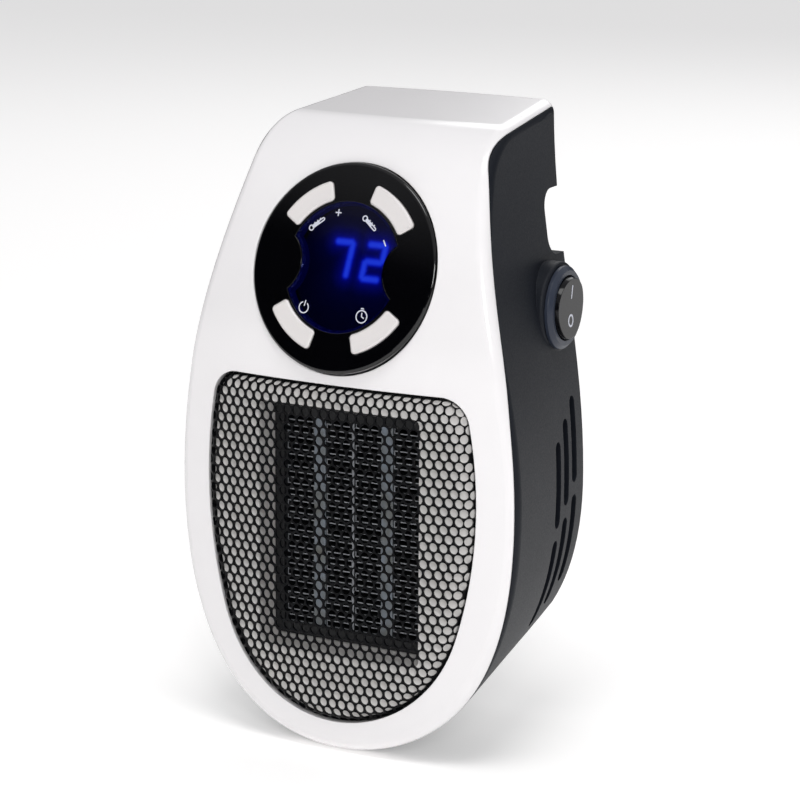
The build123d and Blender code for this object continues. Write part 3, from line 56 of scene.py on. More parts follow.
# Camera: stands to the right of the heater and a little above it, about 0.8 m away.
# The panel's round rim, the grille and the outline of the case fixed its place.
turn, rise, roll = radians(31.62), radians(11.77), radians(0.28)
sight_distance = 823.12 * mm
pixels_per_unit = 3384.4
image_half = 400.0
sensor_width = 36.0
aim_px = (345.37, 268.31)  # where the middle of the panel lies in the picture
aim_point = Vector((0, -54.0, -8.4)) * mm
level = Vector((cos(turn), sin(turn), 0))
back = Vector((sin(turn) * cos(rise), -cos(turn) * cos(rise), sin(rise)))
steep = back.cross(level)
camera_x = cos(roll) * level + sin(roll) * steep
camera_y = cos(roll) * steep - sin(roll) * level
per_px = sight_distance / pixels_per_unit
place = (
    aim_point
    + camera_x * (image_half - aim_px[0]) * per_px
    + camera_y * (aim_px[1] - image_half) * per_px
    + back * sight_distance
)
camera = bpy.data.objects.new("camera", bpy.data.cameras.new("camera"))
bpy.context.scene.collection.objects.link(camera)
axes = Matrix((camera_x, camera_y, back)).transposed().to_4x4()
camera.matrix_world = Matrix.Translation(place) @ axes
camera.data.sensor_width = sensor_width
camera.data.lens = sensor_width * pixels_per_unit / (2 * image_half)
camera.data.clip_start = 0.05
camera.data.clip_end = 30.0
bpy.context.scene.camera = camera
bpy.context.scene.view_settings.view_transform = "Standard"


# Studio: a wide pale floor just under the heater, a pale room, and large soft lights.
# The floor is matt paper, so the heater leaves only a faint shadow on it.
def linear(code):
    """sRGB hex value as the linear colour that a shader takes."""
    parts = [int(code[i : i + 2], 16) / 255 for i in (1, 3, 5)]
    return [p / 12.92 if p < 0.04045 else ((p + 0.055) / 1.055) ** 2.4 for p in parts] + [1.0]


def put(tree, kind, sockets=None, **settings):
    """Adds one node, sets its properties, and fills its inputs with values or with links."""
    made = tree.nodes.new(kind)
    for key, value in settings.items():
        setattr(made, key, value)
    for key, value in (sockets or {}).items():
        if isinstance(value, bpy.types.NodeSocket):
            tree.links.new(value, made.inputs[key])
        else:
            made.inputs[key].default_value = value
    return made


def blank(name):
    """New material with an empty node tree."""
    made = bpy.data.materials.new(name)
    made.use_nodes = True
    made.node_tree.nodes.clear()
    return made, made.node_tree


def surface(tree, sockets):
    """Principled shader with these inputs, as the material's surface."""
    shader = put(tree, "ShaderNodeBsdfPrincipled", sockets)
    put(tree, "ShaderNodeOutputMaterial", {"Surface": shader.outputs[0]})


def mesh_object(name, points, faces, material=None):
    """New mesh object at the origin, from points in metres."""
    mesh = bpy.data.meshes.new(name)
    mesh.from_pydata([tuple(p) for p in points], [], faces)
    made = bpy.data.objects.new(name, mesh)
    bpy.context.scene.collection.objects.link(made)
    if material:
        mesh.materials.append(material)
    return made


paper_glow = 0.30
floor_gap = 0.6
floor_half = 6.0
room_strength = 0.58
light_aim = Vector((0, -0.03, -0.05))
paper, tree = blank("white_paper")
surface(
    tree,
    {
        "Base Color": linear("#F4F3F2"),
        "Roughness": 1.0,
        "Specular IOR Level": 0.1,
        "Emission Color": linear("#FFFFFF"),
        "Emission Strength": paper_glow,
    },
)
floor_z = cad_box[0][2] - floor_gap * mm
floor = mesh_object(
    "floor",
    [(x * floor_half, y * floor_half, floor_z) for x, y in ((-1, -1), (1, -1), (1, 1), (-1, 1))],
    [(0, 1, 2, 3)],
    paper,
)

world = bpy.data.worlds.new("studio")
bpy.context.scene.world = world
world.use_nodes = True
tree = world.node_tree
tree.nodes.clear()
direction = put(tree, "ShaderNodeTexCoord")
split = put(tree, "ShaderNodeSeparateXYZ", {0: direction.outputs["Generated"]})
glow = put(tree, "ShaderNodeValToRGB", {"Fac": split.outputs["Z"]})
for stop, (height, tone) in zip(
    glow.color_ramp.elements, ((0.32, "#18191C"), (0.52, "#FBFBFD"))
):
    stop.position = height
    stop.color = linear(tone)
seen = put(tree, "ShaderNodeLightPath")
wall = put(
    tree,
    "ShaderNodeMix",
    {0: seen.outputs["Is Camera Ray"], 6: glow.outputs["Color"], 7: linear("#F6F6F6")},
    data_type="RGBA",
)
air = put(tree, "ShaderNodeBackground", {"Color": wall.outputs[2], "Strength": room_strength})
put(tree, "ShaderNodeOutputWorld", {"Surface": air.outputs[0]})

for name, spot, size, power in (
    ("front_light", (0.66, -0.96, 0.36), 0.3, 4.4),
    ("top_light", (0.25, -0.45, 1.2), 0.6, 5.8),
    ("back_light", (-0.3, 1.1, 0.8), 0.9, 3.4),
):
    lamp = bpy.data.lights.new(name, "AREA")
    lamp.shape = "DISK"
    lamp.size = size
    lamp.energy = power
    holder = bpy.data.objects.new(name, lamp)
    bpy.context.scene.collection.objects.link(holder)
    holder.location = spot
    holder.rotation_euler = (light_aim - Vector(spot)).to_track_quat("-Z", "Y").to_euler()


# Front cover: one shell of glossy white ABS, injection moulded in a polished tool.
# It gives an even white with a clear, very slightly wavy reflection and soft edges.
bevel_samples = 4
cloud_scale = 60.0  # waves per metre of the slow change of tone


def blend(tree, share, tone, shade):
    """Colour between two sRGB hex values, by a share from 0 to 1."""
    sockets = {0: share, 6: linear(tone), 7: linear(shade)}
    return put(tree, "ShaderNodeMix", sockets, data_type="RGBA").outputs[2]


def plastic(
    name, tone, shade, rough, rough_spread, grain, grain_depth, wave, wave_depth, soft, shine=0.5
):
    """Moulded plastic: two close tones, uneven gloss, tool grain, slow waviness, soft edges.

    Grain, wave, their depths and the edge radius are in millimetres.
    """
    made, tree = blank(name)
    place = put(tree, "ShaderNodeTexCoord").outputs["Object"]
    cloud = put(tree, "ShaderNodeTexNoise", {"Vector": place, "Scale": cloud_scale, "Detail": 3.0})
    tint = blend(tree, cloud.outputs["Fac"], tone, shade)
    fine = put(
        tree,
        "ShaderNodeTexNoise",
        {"Vector": place, "Scale": 1 / (grain * mm), "Detail": 2.0, "Roughness": 0.6},
    )
    slow = put(
        tree, "ShaderNodeTexNoise", {"Vector": place, "Scale": 1 / (wave * mm), "Detail": 1.0}
    )
    gloss = put(
        tree,
        "ShaderNodeMapRange",
        {
            "Value": fine.outputs["Fac"],
            "From Min": 0.3,
            "From Max": 0.7,
            "To Min": rough - rough_spread,
            "To Max": rough + rough_spread,
        },
    )
    edge = put(tree, "ShaderNodeBevel", {"Radius": soft * mm}, samples=bevel_samples)
    wavy = put(
        tree,
        "ShaderNodeBump",
        {
            "Height": slow.outputs["Fac"],
            "Distance": wave_depth * mm,
            "Normal": edge.outputs["Normal"],
        },
    )
    grainy = put(
        tree,
        "ShaderNodeBump",
        {
            "Height": fine.outputs["Fac"],
            "Distance": grain_depth * mm,
            "Normal": wavy.outputs["Normal"],
        },
    )
    surface(
        tree,
        {
            "Base Color": tint,
            "Roughness": gloss.outputs["Result"],
            "IOR": 1.53,
            "Specular IOR Level": shine,
            "Normal": grainy.outputs["Normal"],
        },
    )
    return made


def dress(material, *names):
    """Gives CAD nodes a material."""
    for name in names:
        for slot in nodes[name].material_slots:
            slot.material = material


dress(
    plastic(
        "abs_white_polished", "#F3F1F2", "#EFEDEE",
        rough=0.16, rough_spread=0.02, grain=0.9, grain_depth=0.0006, wave=14.0,
        wave_depth=0.012, soft=0.35,
    ),
    "front_cover",
)


# Rear housing: dark grey ABS, moulded in a spark-eroded tool, screwed to the cover.
# The fine grain scatters the light, so the flanks look matt and slightly bluish.
dress(
    plastic(
        "abs_black_eroded", "#15181E", "#191C23",
        rough=0.52, rough_spread=0.06, grain=0.42, grain_depth=0.014, wave=20.0,
        wave_depth=0.01, soft=0.3, shine=0.16,
    ),
    "rear_housing",
)


# Control panel: round glossy black cap, screened on the inside, held in the cover's cup.
# A painted blue glow, emission on the ledge under the window, stands in for the display's light and
# tints the window's edge.
panel_tilt = radians(16.0)
panel_point = Vector((0, -55.0, -8.1)) * mm
panel_right = Vector((1, 0, 0))
panel_out = Vector((0, -cos(panel_tilt), sin(panel_tilt)))
panel_up = Vector((0, sin(panel_tilt), cos(panel_tilt)))
window_radius = 16.2
# Extent, strength and roughness of the painted blue glow on the ledge under the window.
painted_glow_margin = 0.4
painted_glow_depth = 0.3
painted_glow_strength = 0.10
painted_glow_roughness = 0.5
speck_scale = 900.0

made, tree = blank("abs_black_gloss")
place = put(tree, "ShaderNodeTexCoord").outputs["Object"]
local = put(
    tree,
    "ShaderNodeMapping",
    {
        "Vector": place,
        "Location": panel_point,
        "Rotation": (-panel_tilt, 0.0, 0.0),
    },
    vector_type="TEXTURE",
)
axis = put(tree, "ShaderNodeSeparateXYZ", {0: local.outputs[0]})
flat = put(tree, "ShaderNodeCombineXYZ", {"X": axis.outputs["X"], "Z": axis.outputs["Z"]})
reach = put(tree, "ShaderNodeVectorMath", {0: flat.outputs[0]}, operation="LENGTH")
inside = put(
    tree,
    "ShaderNodeMath",
    {0: reach.outputs["Value"], 1: (window_radius + painted_glow_margin) * mm},
    operation="LESS_THAN",
)
deep = put(
    tree, "ShaderNodeMath", {0: axis.outputs["Y"], 1: painted_glow_depth * mm}, operation="GREATER_THAN"
)
# Area of the painted blue glow: deep inside the window's rim. There the panel is also rougher.
painted_glow_area = put(
    tree, "ShaderNodeMath", {0: inside.outputs[0], 1: deep.outputs[0]}, operation="MULTIPLY"
)
# Strength of the painted glow: emission on the panel, which is no lamp.
power = put(tree, "ShaderNodeMath", {0: painted_glow_area.outputs[0], 1: painted_glow_strength}, operation="MULTIPLY")
specks = put(tree, "ShaderNodeTexNoise", {"Vector": place, "Scale": speck_scale, "Detail": 2.0})
gloss = put(
    tree,
    "ShaderNodeMapRange",
    {"Value": specks.outputs["Fac"], "To Min": 0.05, "To Max": 0.10},
)
screened = put(
    tree,
    "ShaderNodeMath",
    {0: painted_glow_area.outputs[0], 1: painted_glow_roughness, 2: gloss.outputs[0]},
    operation="MULTIPLY_ADD",
)
edge = put(tree, "ShaderNodeBevel", {"Radius": 0.25 * mm}, samples=bevel_samples)
surface(
    tree,
    {
        "Base Color": linear("#030305"),
        "Roughness": screened.outputs[0],
        "IOR": 1.5,
        "Normal": edge.outputs["Normal"],
        # Emission: painted glow standing in for the display's blue light on the ledge.
        "Emission Color": linear("#0A18B4"),
        "Emission Strength": power.outputs[0],
    },
)
dress(made, "control_panel")


# Display window: smoked polycarbonate lens, snapped into the panel over the display.
# It lets a bluish part of the light through, and its face is as glossy as the panel.
smear_scale = 220.0
made, tree = blank("polycarbonate_smoked")
place = put(tree, "ShaderNodeTexCoord").outputs["Object"]
cloud = put(tree, "ShaderNodeTexNoise", {"Vector": place, "Scale": smear_scale, "Detail": 2.0})
gloss = put(
    tree, "ShaderNodeMapRange", {"Value": cloud.outputs["Fac"], "To Min": 0.03, "To Max": 0.06}
)
surface(
    tree,
    {
        "Base Color": linear("#6A72B0"),
        "Roughness": gloss.outputs["Result"],
        "IOR": 1.5,
        "Normal": put(tree, "ShaderNodeNewGeometry").outputs["True Normal"],
        "Transmission Weight": 1.0,
    },
)
dress(made, "display_window")


# Display: two seven-segment digits that shine through a dark diffusing film.
# The film blurs the segments and spreads a weak blue glow over the whole window.
display_depth = 5.5
film_radius = 16.4
film_step = 0.24
digit_width, digit_height, digit_slant = 4.7, 8.4, 0.10
digit_places = (-4.1, 5.1)
digit_rise = 2.5
corners = {
    "a": ((-1, 1), (1, 1)),
    "b": ((1, 1), (1, 0)),
    "c": ((1, 0), (1, -1)),
    "d": ((-1, -1), (1, -1)),
    "e": ((-1, -1), (-1, 0)),
    "f": ((-1, 0), (-1, 1)),
    "g": ((-1, 0), (1, 0)),
}
lit_segments = ("abc", "abged")
end_share = 0.1  # how far each lit stroke stops short of its corners
core_half, core_blur, core_level = 0.72, 0.20, 0.85
halos = ((0.17, 2.2), (0.045, 4.5))  # level beside a stroke, and fade length
film_glow = 1.8


def digit_point(middle, corner):
    """Corner of a digit on the film, leaning to the right towards its top."""
    x, y = corner
    return (
        middle + x * digit_width / 2 + y * digit_height / 2 * digit_slant,
        digit_rise + y * digit_height / 2,
    )


strokes = [
    (digit_point(middle, corners[s][0]), digit_point(middle, corners[s][1]))
    for middle, segments in zip(digit_places, lit_segments)
    for s in segments
]


def away(p, stroke):
    """Distance from a point to a stroke's centre line."""
    (ax, ay), (bx, by) = stroke
    dx, dy = bx - ax, by - ay
    t = ((p[0] - ax) * dx + (p[1] - ay) * dy) / (dx * dx + dy * dy)
    t = min(1 - end_share, max(end_share, t))
    return hypot(p[0] - ax - t * dx, p[1] - ay - t * dy)


count = int(2 * film_radius / film_step)
grid, index, glow_values = [], {}, []
for row in range(count + 1):
    for column in range(count + 1):
        x = (column - count / 2) * film_step
        y = (row - count / 2) * film_step
        if hypot(x, y) < film_radius:
            near = min(away((x, y), s) for s in strokes)
            index[row, column] = len(grid)
            grid.append((x, y))
            core = 1 / (1 + exp((near - core_half) / core_blur))
            halo = sum(level * exp(-near / fade) for level, fade in halos)
            glow_values.append(min(1.0, core * core_level + halo))
cells = [
    (index[r, c], index[r, c + 1], index[r + 1, c + 1], index[r + 1, c])
    for r, c in index
    if all(k in index for k in ((r, c + 1), (r + 1, c + 1), (r + 1, c)))
]
made, tree = blank("display_film")
level_of = put(tree, "ShaderNodeAttribute", attribute_name="glow").outputs["Fac"]
ramp = put(tree, "ShaderNodeValToRGB", {"Fac": level_of})
ramp.color_ramp.elements[0].color = linear("#000010")
ramp.color_ramp.elements[1].color = linear("#3C64F0")
for position, tone in ((0.04, "#00022A"), (0.16, "#060C78"), (0.5, "#1B34C8")):
    ramp.color_ramp.elements.new(position).color = linear(tone)
surface(
    tree,
    {
        "Base Color": linear("#050509"),
        "Roughness": 0.5,
        "Emission Color": ramp.outputs["Color"],
        "Emission Strength": film_glow,
    },
)
film = mesh_object(
    "display_film",
    [
        panel_point + (panel_right * x + panel_up * y - panel_out * display_depth) * mm
        for x, y in grid
    ],
    cells,
    made,
)
spread = film.data.attributes.new("glow", "FLOAT", "POINT")
spread.data.foreach_set("value", glow_values)
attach(film, "case")
dress(
    plastic(
        "abs_display_case", "#0B0B0D", "#101013",
        rough=0.4, rough_spread=0.05, grain=0.5, grain_depth=0.005, wave=9.0,
        wave_depth=0.005, soft=0.15,
    ),
    "display_module",
)


# Keys: four satin white ABS caps in the ring, each resting on its switch from inside.
# They are duller and a little greyer than the cover, so they read as separate caps.
dress(
    plastic(
        "abs_white_satin", "#E4E0DF", "#DFDBDA",
        rough=0.34, rough_spread=0.04, grain=0.5, grain_depth=0.004, wave=8.0,
        wave_depth=0.006, soft=0.22,
    ),
    "button_temp_up",
    "button_temp_down",
    "button_power",
    "button_timer",
)


# Signs on the panel: white ink, screen printed on the lens and beside the keys.
# A thermometer with plus, a thermometer with minus, the on and standby sign, a clock.
sign_width = 0.3
ink_lift = 0.02
ray_start = 20.0
arc_steps = 28


def ribbon(points, width, closed=False):
    """Flat stroke of even width along points: its vertices and faces."""
    count = len(points)
    sides = []
    for i, (x, y) in enumerate(points):
        x0, y0 = points[i - 1] if i or closed else points[i]
        x1, y1 = points[(i + 1) % count] if i < count - 1 or closed else points[i]
        span = hypot(x1 - x0, y1 - y0)
        nx, ny = -(y1 - y0) / span * width / 2, (x1 - x0) / span * width / 2
        sides.append(((x + nx, y + ny), (x - nx, y - ny)))
    flat_points = [p for pair in sides for p in pair]
    last = count if closed else count - 1
    faces = [
        (2 * i, 2 * i + 1, 2 * ((i + 1) % count) + 1, 2 * ((i + 1) % count)) for i in range(last)
    ]
    return flat_points, faces


def ring(x, y, radius, start=0.0, sweep=360.0):
    """Points on an arc; angles in degrees from the X axis."""
    steps = arc_steps if sweep >= 360 else max(6, int(arc_steps * sweep / 360))
    last = steps if sweep >= 360 else steps + 1
    return [
        (
            x + radius * cos(radians(start + sweep * i / steps)),
            y + radius * sin(radians(start + sweep * i / steps)),
        )
        for i in range(last)
    ]


def turned(shapes, angle, x, y):
    """Strokes turned by an angle in degrees and moved to a place."""
    ca, sa = cos(radians(angle)), sin(radians(angle))
    return [
        ([(x + ca * px - sa * py, y + sa * px + ca * py) for px, py in points], closed)
        for points, closed in shapes
    ]


def print_ink(name, shapes, width, origin, right, up, out, carriers, material, body):
    """Lays strokes on the nodes that carry them, as a thin layer of ink."""
    trees = [
        BVHTree.FromPolygons(
            [v.co for v in nodes[c].data.vertices], [p.vertices for p in nodes[c].data.polygons]
        )
        for c in carriers
    ]
    points, faces = [], []
    for stroke, closed in shapes:
        flat_points, flat_faces = ribbon(stroke, width, closed)
        for x, y in flat_points:
            start = origin + (right * x + up * y + out * ray_start) * mm
            hits = [t.ray_cast(start, -out) for t in trees]
            depth = min(h[3] for h in hits if h[0] is not None)
            points.append(start - out * (depth - ink_lift * mm))
        base = len(points) - len(flat_points)
        faces += [tuple(base + i for i in face) for face in flat_faces]
    made = mesh_object(name, points, faces, material)
    work = bmesh.new()
    work.from_mesh(made.data)
    for face in work.faces:
        face.normal_update()
        if face.normal.dot(out) < 0:
            face.normal_flip()
    work.to_mesh(made.data)
    work.free()
    thick = made.modifiers.new("thickness", "SOLIDIFY")
    thick.thickness = ink_lift * mm
    thick.offset = -1.0
    graph = bpy.context.evaluated_depsgraph_get()
    solid = bpy.data.meshes.new_from_object(made.evaluated_get(graph))
    made.modifiers.clear()
    made.data = solid
    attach(made, body)
    return made


mesh_mark_scale = 6000.0
made, tree = blank("screen_ink_white")
place = put(tree, "ShaderNodeTexCoord").outputs["Object"]
mesh_marks = put(
    tree, "ShaderNodeTexNoise", {"Vector": place, "Scale": mesh_mark_scale, "Detail": 1.0}
)
tint = blend(tree, mesh_marks.outputs["Fac"], "#C4C8D6", "#DADCE6")
surface(tree, {"Base Color": tint, "Roughness": 0.45, "IOR": 1.5})
ink = made

thermometer = [
    (ring(-2.3, 0, 0.62), True),
    ([(-1.75, 0.32), (1.6, 0.32)], False),
    ([(-1.75, -0.32), (1.6, -0.32)], False),
    (ring(1.6, 0, 0.32, -90, 180), False),
    ([(-0.9, 0.75), (-0.9, 0.42)], False),
    ([(0.0, 0.75), (0.0, 0.42)], False),
    ([(0.9, 0.75), (0.9, 0.42)], False),
    ([(-2.0, 0.0), (0.4, 0.0)], False),
]
plus = [([(-0.85, 0), (0.85, 0)], False), ([(0, -0.85), (0, 0.85)], False)]
minus = [([(-0.85, 0), (0.85, 0)], False)]
standby = [(ring(0, 0, 1.35, 118, 304), False), ([(0.0, 0.35), (0.0, 1.85)], False)]
clock = [
    (ring(0, 0, 1.5), True),
    ([(0, 0), (0, 0.95)], False),
    ([(0, 0), (0.72, -0.36)], False),
    ([(-0.45, 1.95), (0.45, 1.95)], False),
]
shapes = (
    turned(thermometer, 38, -8.6, 10.3)
    + turned(plus, 0, -3.3, 13.2)
    + turned(thermometer, -38, 6.3, 11.0)
    + turned(minus, -60, 11.0, 6.9)
    + turned(standby, -12, -9.2, -10.7)
    + turned(clock, 0, 7.6, -11.4)
)
signs = print_ink(
    "panel_signs",
    shapes,
    sign_width,
    panel_point,
    panel_right,
    panel_up,
    panel_out,
    ("display_window", "control_panel"),
    ink,
    "case",
)


# Outlet duct: frame of white heat-resistant plastic behind the grille, screwed to the cover.
# Its crowned face is what shines through the holes; the well is darker because it is deep.
dress(
    plastic(
        "pbt_white", "#F6F3F1", "#F2EFEC",
        rough=0.42, rough_spread=0.05, grain=0.6, grain_depth=0.006, wave=12.0,
        wave_depth=0.01, soft=0.3,
    ),
    "outlet_duct",
)


# Grille: thin steel sheet, punched with staggered round holes, drawn into a crowned dish,
# powder coated black, and pressed into the collar of the cover.
hole_pitch = 2.66
row_step = 2.28
hole_radius = 1.15
bend_radius = 3.4
punch_sides = 16
crown_radius = 251.3
crown_axis_y = 190.3
grille_inset = 0.25
punch_depth = 1.9
last_turn = 1.35  # radians round the bend, beyond which nothing is punched
columns, rows, middle_z = 34, 42, -79.1
side_centre, side_radius = (-71.03, -63.4), 110.03
corner_centre, corner_radius = (29.65, -44.0), 7.5
low_centre, low_radius = (0.0, -86.3), 35.4
side_from, side_to = 10.91, -17.87  # degrees at which the side arc meets its neighbours
corner_steps, arc_points = 14, 40
peel_size, peel_depth = 0.5, 0.02


def outline(shrink):
    """Closed outline of the outlet seen from the front, moved inwards by a distance."""
    half = []
    for (cx, cz), radius, high, low, steps in (
        (corner_centre, corner_radius, 90.0, side_from, corner_steps),
        (side_centre, side_radius, side_from, side_to, arc_points),
        (low_centre, low_radius, side_to, -90.0, arc_points),
    ):
        for i in range(steps):
            angle = radians(high + (low - high) * i / steps)
            half.append(
                (cx + (radius - shrink) * cos(angle), cz + (radius - shrink) * sin(angle))
            )
    lowest = [(0.0, low_centre[1] - low_radius + shrink)]
    return half + lowest + [(-x, z) for x, z in reversed(half)]


fold = outline(grille_inset + bend_radius)
fold_guide = mesh_object(
    "fold_guide", [(x * mm, 0, z * mm) for x, z in fold], [tuple(range(len(fold)))]
)

powder, tree = blank("steel_powder_coated")
place = put(tree, "ShaderNodeTexCoord").outputs["Object"]
peel = put(
    tree, "ShaderNodeTexNoise", {"Vector": place, "Scale": 1 / (peel_size * mm), "Detail": 2.0}
)
tint = blend(tree, peel.outputs["Fac"], "#030406", "#07080B")
gloss = put(
    tree, "ShaderNodeMapRange", {"Value": peel.outputs["Fac"], "To Min": 0.24, "To Max": 0.42}
)
skin = put(tree, "ShaderNodeBump", {"Height": peel.outputs["Fac"], "Distance": peel_depth * mm})
surface(
    tree,
    {
        "Base Color": tint,
        "Roughness": gloss.outputs["Result"],
        "IOR": 1.5,
        "Specular IOR Level": 0.1,
        "Normal": skin.outputs["Normal"],
    },
)


def node_group(name, sockets):
    """New geometry node tree with these inputs and one geometry output, and its input node."""
    tree = bpy.data.node_groups.new(name, "GeometryNodeTree")
    for label, kind in sockets.items():
        tree.interface.new_socket(label, in_out="INPUT", socket_type="NodeSocket" + kind)
    tree.interface.new_socket("Geometry", in_out="OUTPUT", socket_type="NodeSocketGeometry")
    return tree, put(tree, "NodeGroupInput").outputs


punch, source = node_group(
    "punched_sheet",
    {
        "Sheet": "Geometry",
        "Fold Line": "Object",
        "Pitch": "Float",
        "Row Step": "Float",
        "Hole Radius": "Float",
        "Bend Radius": "Float",
        "Crown Radius": "Float",
        "Crown Axis": "Float",
        "Last Turn": "Float",
        "Coating": "Material",
    },
)


def sum_of(tree, operation, first, second=0.0):
    """One sum on two numbers."""
    return put(tree, "ShaderNodeMath", {0: first, 1: second}, operation=operation).outputs[0]


# the flat pattern: staggered rows over the whole outlet
grid_node = put(
    punch,
    "GeometryNodeMeshGrid",
    {
        "Size X": sum_of(punch, "MULTIPLY", source["Pitch"], columns - 1.0),
        "Size Y": sum_of(punch, "MULTIPLY", source["Row Step"], rows - 1.0),
        "Vertices X": columns,
        "Vertices Y": rows,
    },
)
spot = put(punch, "GeometryNodeInputPosition").outputs[0]
parts = put(punch, "ShaderNodeSeparateXYZ", {0: spot}).outputs
row = sum_of(
    punch,
    "ROUND",
    sum_of(punch, "ADD", sum_of(punch, "DIVIDE", parts["Y"], source["Row Step"]), rows / 2 - 0.5),
)
odd = sum_of(punch, "FLOORED_MODULO", row, 2.0)
shift = sum_of(punch, "MULTIPLY", sum_of(punch, "SUBTRACT", odd, 0.5), source["Pitch"])
staggered = put(
    punch,
    "ShaderNodeCombineXYZ",
    {
        "X": sum_of(punch, "ADD", parts["X"], sum_of(punch, "MULTIPLY", shift, 0.5)),
        "Y": 0.0,
        "Z": sum_of(punch, "ADD", parts["Y"], middle_z * mm),
    },
)
laid = put(
    punch,
    "GeometryNodeSetPosition",
    {"Geometry": grid_node.outputs["Mesh"], "Position": staggered.outputs[0]},
)
# what lies outside the fold line goes round the bend
guide = put(punch, "GeometryNodeObjectInfo", {"Object": source["Fold Line"]}).outputs["Geometry"]
spot = put(punch, "GeometryNodeInputPosition").outputs[0]
to_face = put(
    punch, "GeometryNodeProximity", {0: guide, "Sample Position": spot}, target_element="FACES"
)
to_edge = put(
    punch, "GeometryNodeProximity", {0: guide, "Sample Position": spot}, target_element="EDGES"
)
outside = put(
    punch,
    "FunctionNodeCompare",
    {0: to_face.outputs["Distance"], 1: 1e-6},
    data_type="FLOAT",
    operation="GREATER_THAN",
).outputs[0]
past = put(
    punch,
    "GeometryNodeSwitch",
    {"Switch": outside, "False": 0.0, "True": to_edge.outputs["Distance"]},
    input_type="FLOAT",
).outputs[0]
root = put(
    punch,
    "GeometryNodeSwitch",
    {"Switch": outside, "False": spot, "True": to_edge.outputs["Position"]},
    input_type="VECTOR",
).outputs[0]
outward = put(
    punch,
    "ShaderNodeVectorMath",
    {0: put(punch, "ShaderNodeVectorMath", {0: spot, 1: root}, operation="SUBTRACT").outputs[0]},
    operation="NORMALIZE",
).outputs[0]
angle = sum_of(punch, "DIVIDE", past, source["Bend Radius"])
sine, cosine = sum_of(punch, "SINE", angle), sum_of(punch, "COSINE", angle)
sideways = put(
    punch,
    "ShaderNodeVectorMath",
    {0: outward, "Scale": sum_of(punch, "MULTIPLY", sine, source["Bend Radius"])},
    operation="SCALE",
).outputs[0]
root_x = put(punch, "ShaderNodeSeparateXYZ", {0: root}).outputs["X"]
crown = sum_of(
    punch,
    "SQRT",
    sum_of(
        punch,
        "SUBTRACT",
        sum_of(punch, "MULTIPLY", source["Crown Radius"], source["Crown Radius"]),
        sum_of(punch, "MULTIPLY", root_x, root_x),
    ),
)
front = sum_of(punch, "SUBTRACT", source["Crown Axis"], crown)
sunk = sum_of(
    punch,
    "MULTIPLY",
    sum_of(punch, "SUBTRACT", 1.0, cosine),
    source["Bend Radius"],
)
forward = put(
    punch, "ShaderNodeCombineXYZ", {"Y": sum_of(punch, "ADD", front, sunk)}
).outputs[0]
bent = put(
    punch,
    "ShaderNodeVectorMath",
    {
        0: put(punch, "ShaderNodeVectorMath", {0: root, 1: sideways}, operation="ADD").outputs[0],
        1: forward,
    },
    operation="ADD",
).outputs[0]
lean = put(
    punch,
    "ShaderNodeCombineXYZ",
    {
        "X": sum_of(punch, "DIVIDE", root_x, source["Crown Radius"]),
        "Y": sum_of(punch, "MULTIPLY", cosine, -1.0),
    },
).outputs[0]
turned_out = put(
    punch, "ShaderNodeVectorMath", {0: outward, "Scale": sine}, operation="SCALE"
).outputs[0]
aim_out = put(
    punch, "ShaderNodeVectorMath", {0: lean, 1: turned_out}, operation="ADD"
).outputs[0]
beyond = put(
    punch,
    "FunctionNodeCompare",
    {0: angle, 1: source["Last Turn"]},
    data_type="FLOAT",
    operation="GREATER_THAN",
).outputs[0]
stored = put(
    punch,
    "GeometryNodeStoreNamedAttribute",
    {"Geometry": laid.outputs[0], "Name": "aim", "Value": aim_out},
    data_type="FLOAT_VECTOR",
    domain="POINT",
)
kept = put(
    punch,
    "GeometryNodeStoreNamedAttribute",
    {"Geometry": stored.outputs[0], "Name": "beyond", "Value": beyond},
    data_type="BOOLEAN",
    domain="POINT",
)
bent_points = put(
    punch, "GeometryNodeSetPosition", {"Geometry": kept.outputs[0], "Position": bent}
)
far = put(punch, "GeometryNodeInputNamedAttribute", {"Name": "beyond"}, data_type="BOOLEAN")
trimmed = put(
    punch,
    "GeometryNodeDeleteGeometry",
    {"Geometry": bent_points.outputs[0], "Selection": far.outputs[0]},
    domain="POINT",
)
stamp = put(
    punch,
    "GeometryNodeMeshCylinder",
    {"Vertices": punch_sides, "Radius": source["Hole Radius"], "Depth": punch_depth * mm},
    fill_type="NGON",
)
aim_read = put(
    punch, "GeometryNodeInputNamedAttribute", {"Name": "aim"}, data_type="FLOAT_VECTOR"
)
facing = put(
    punch, "FunctionNodeAlignRotationToVector", {"Vector": aim_read.outputs[0]}, axis="Z"
)
stamps = put(
    punch,
    "GeometryNodeInstanceOnPoints",
    {
        "Points": trimmed.outputs[0],
        "Instance": stamp.outputs["Mesh"],
        "Rotation": facing.outputs[0],
    },
)
stamps = put(punch, "GeometryNodeRealizeInstances", {0: stamps.outputs[0]})
whole = put(
    punch, "GeometryNodeMergeByDistance", {"Geometry": source["Sheet"], "Distance": 1e-6}
)
holed = put(
    punch,
    "GeometryNodeMeshBoolean",
    {0: whole.outputs[0], 1: stamps.outputs[0]},
    operation="DIFFERENCE",
    solver="MANIFOLD",
)
plain = put(punch, "GeometryNodeRealizeInstances", {0: holed.outputs[0]})
coated = put(
    punch,
    "GeometryNodeSetMaterial",
    {"Geometry": plain.outputs[0], "Material": source["Coating"]},
)
put(punch, "NodeGroupOutput", {0: coated.outputs[0]})


def grow(holder, tree, values):
    """Runs a node tree on an object and keeps the result as its plain mesh."""
    modifier = holder.modifiers.new("nodes", "NODES")
    modifier.node_group = tree
    sockets = {s.name: s.identifier for s in tree.interface.items_tree if s.in_out == "INPUT"}
    for label, value in values.items():
        modifier[sockets[label]] = value
    graph = bpy.context.evaluated_depsgraph_get()
    result = bpy.data.meshes.new_from_object(holder.evaluated_get(graph))
    holder.modifiers.clear()
    holder.data = result


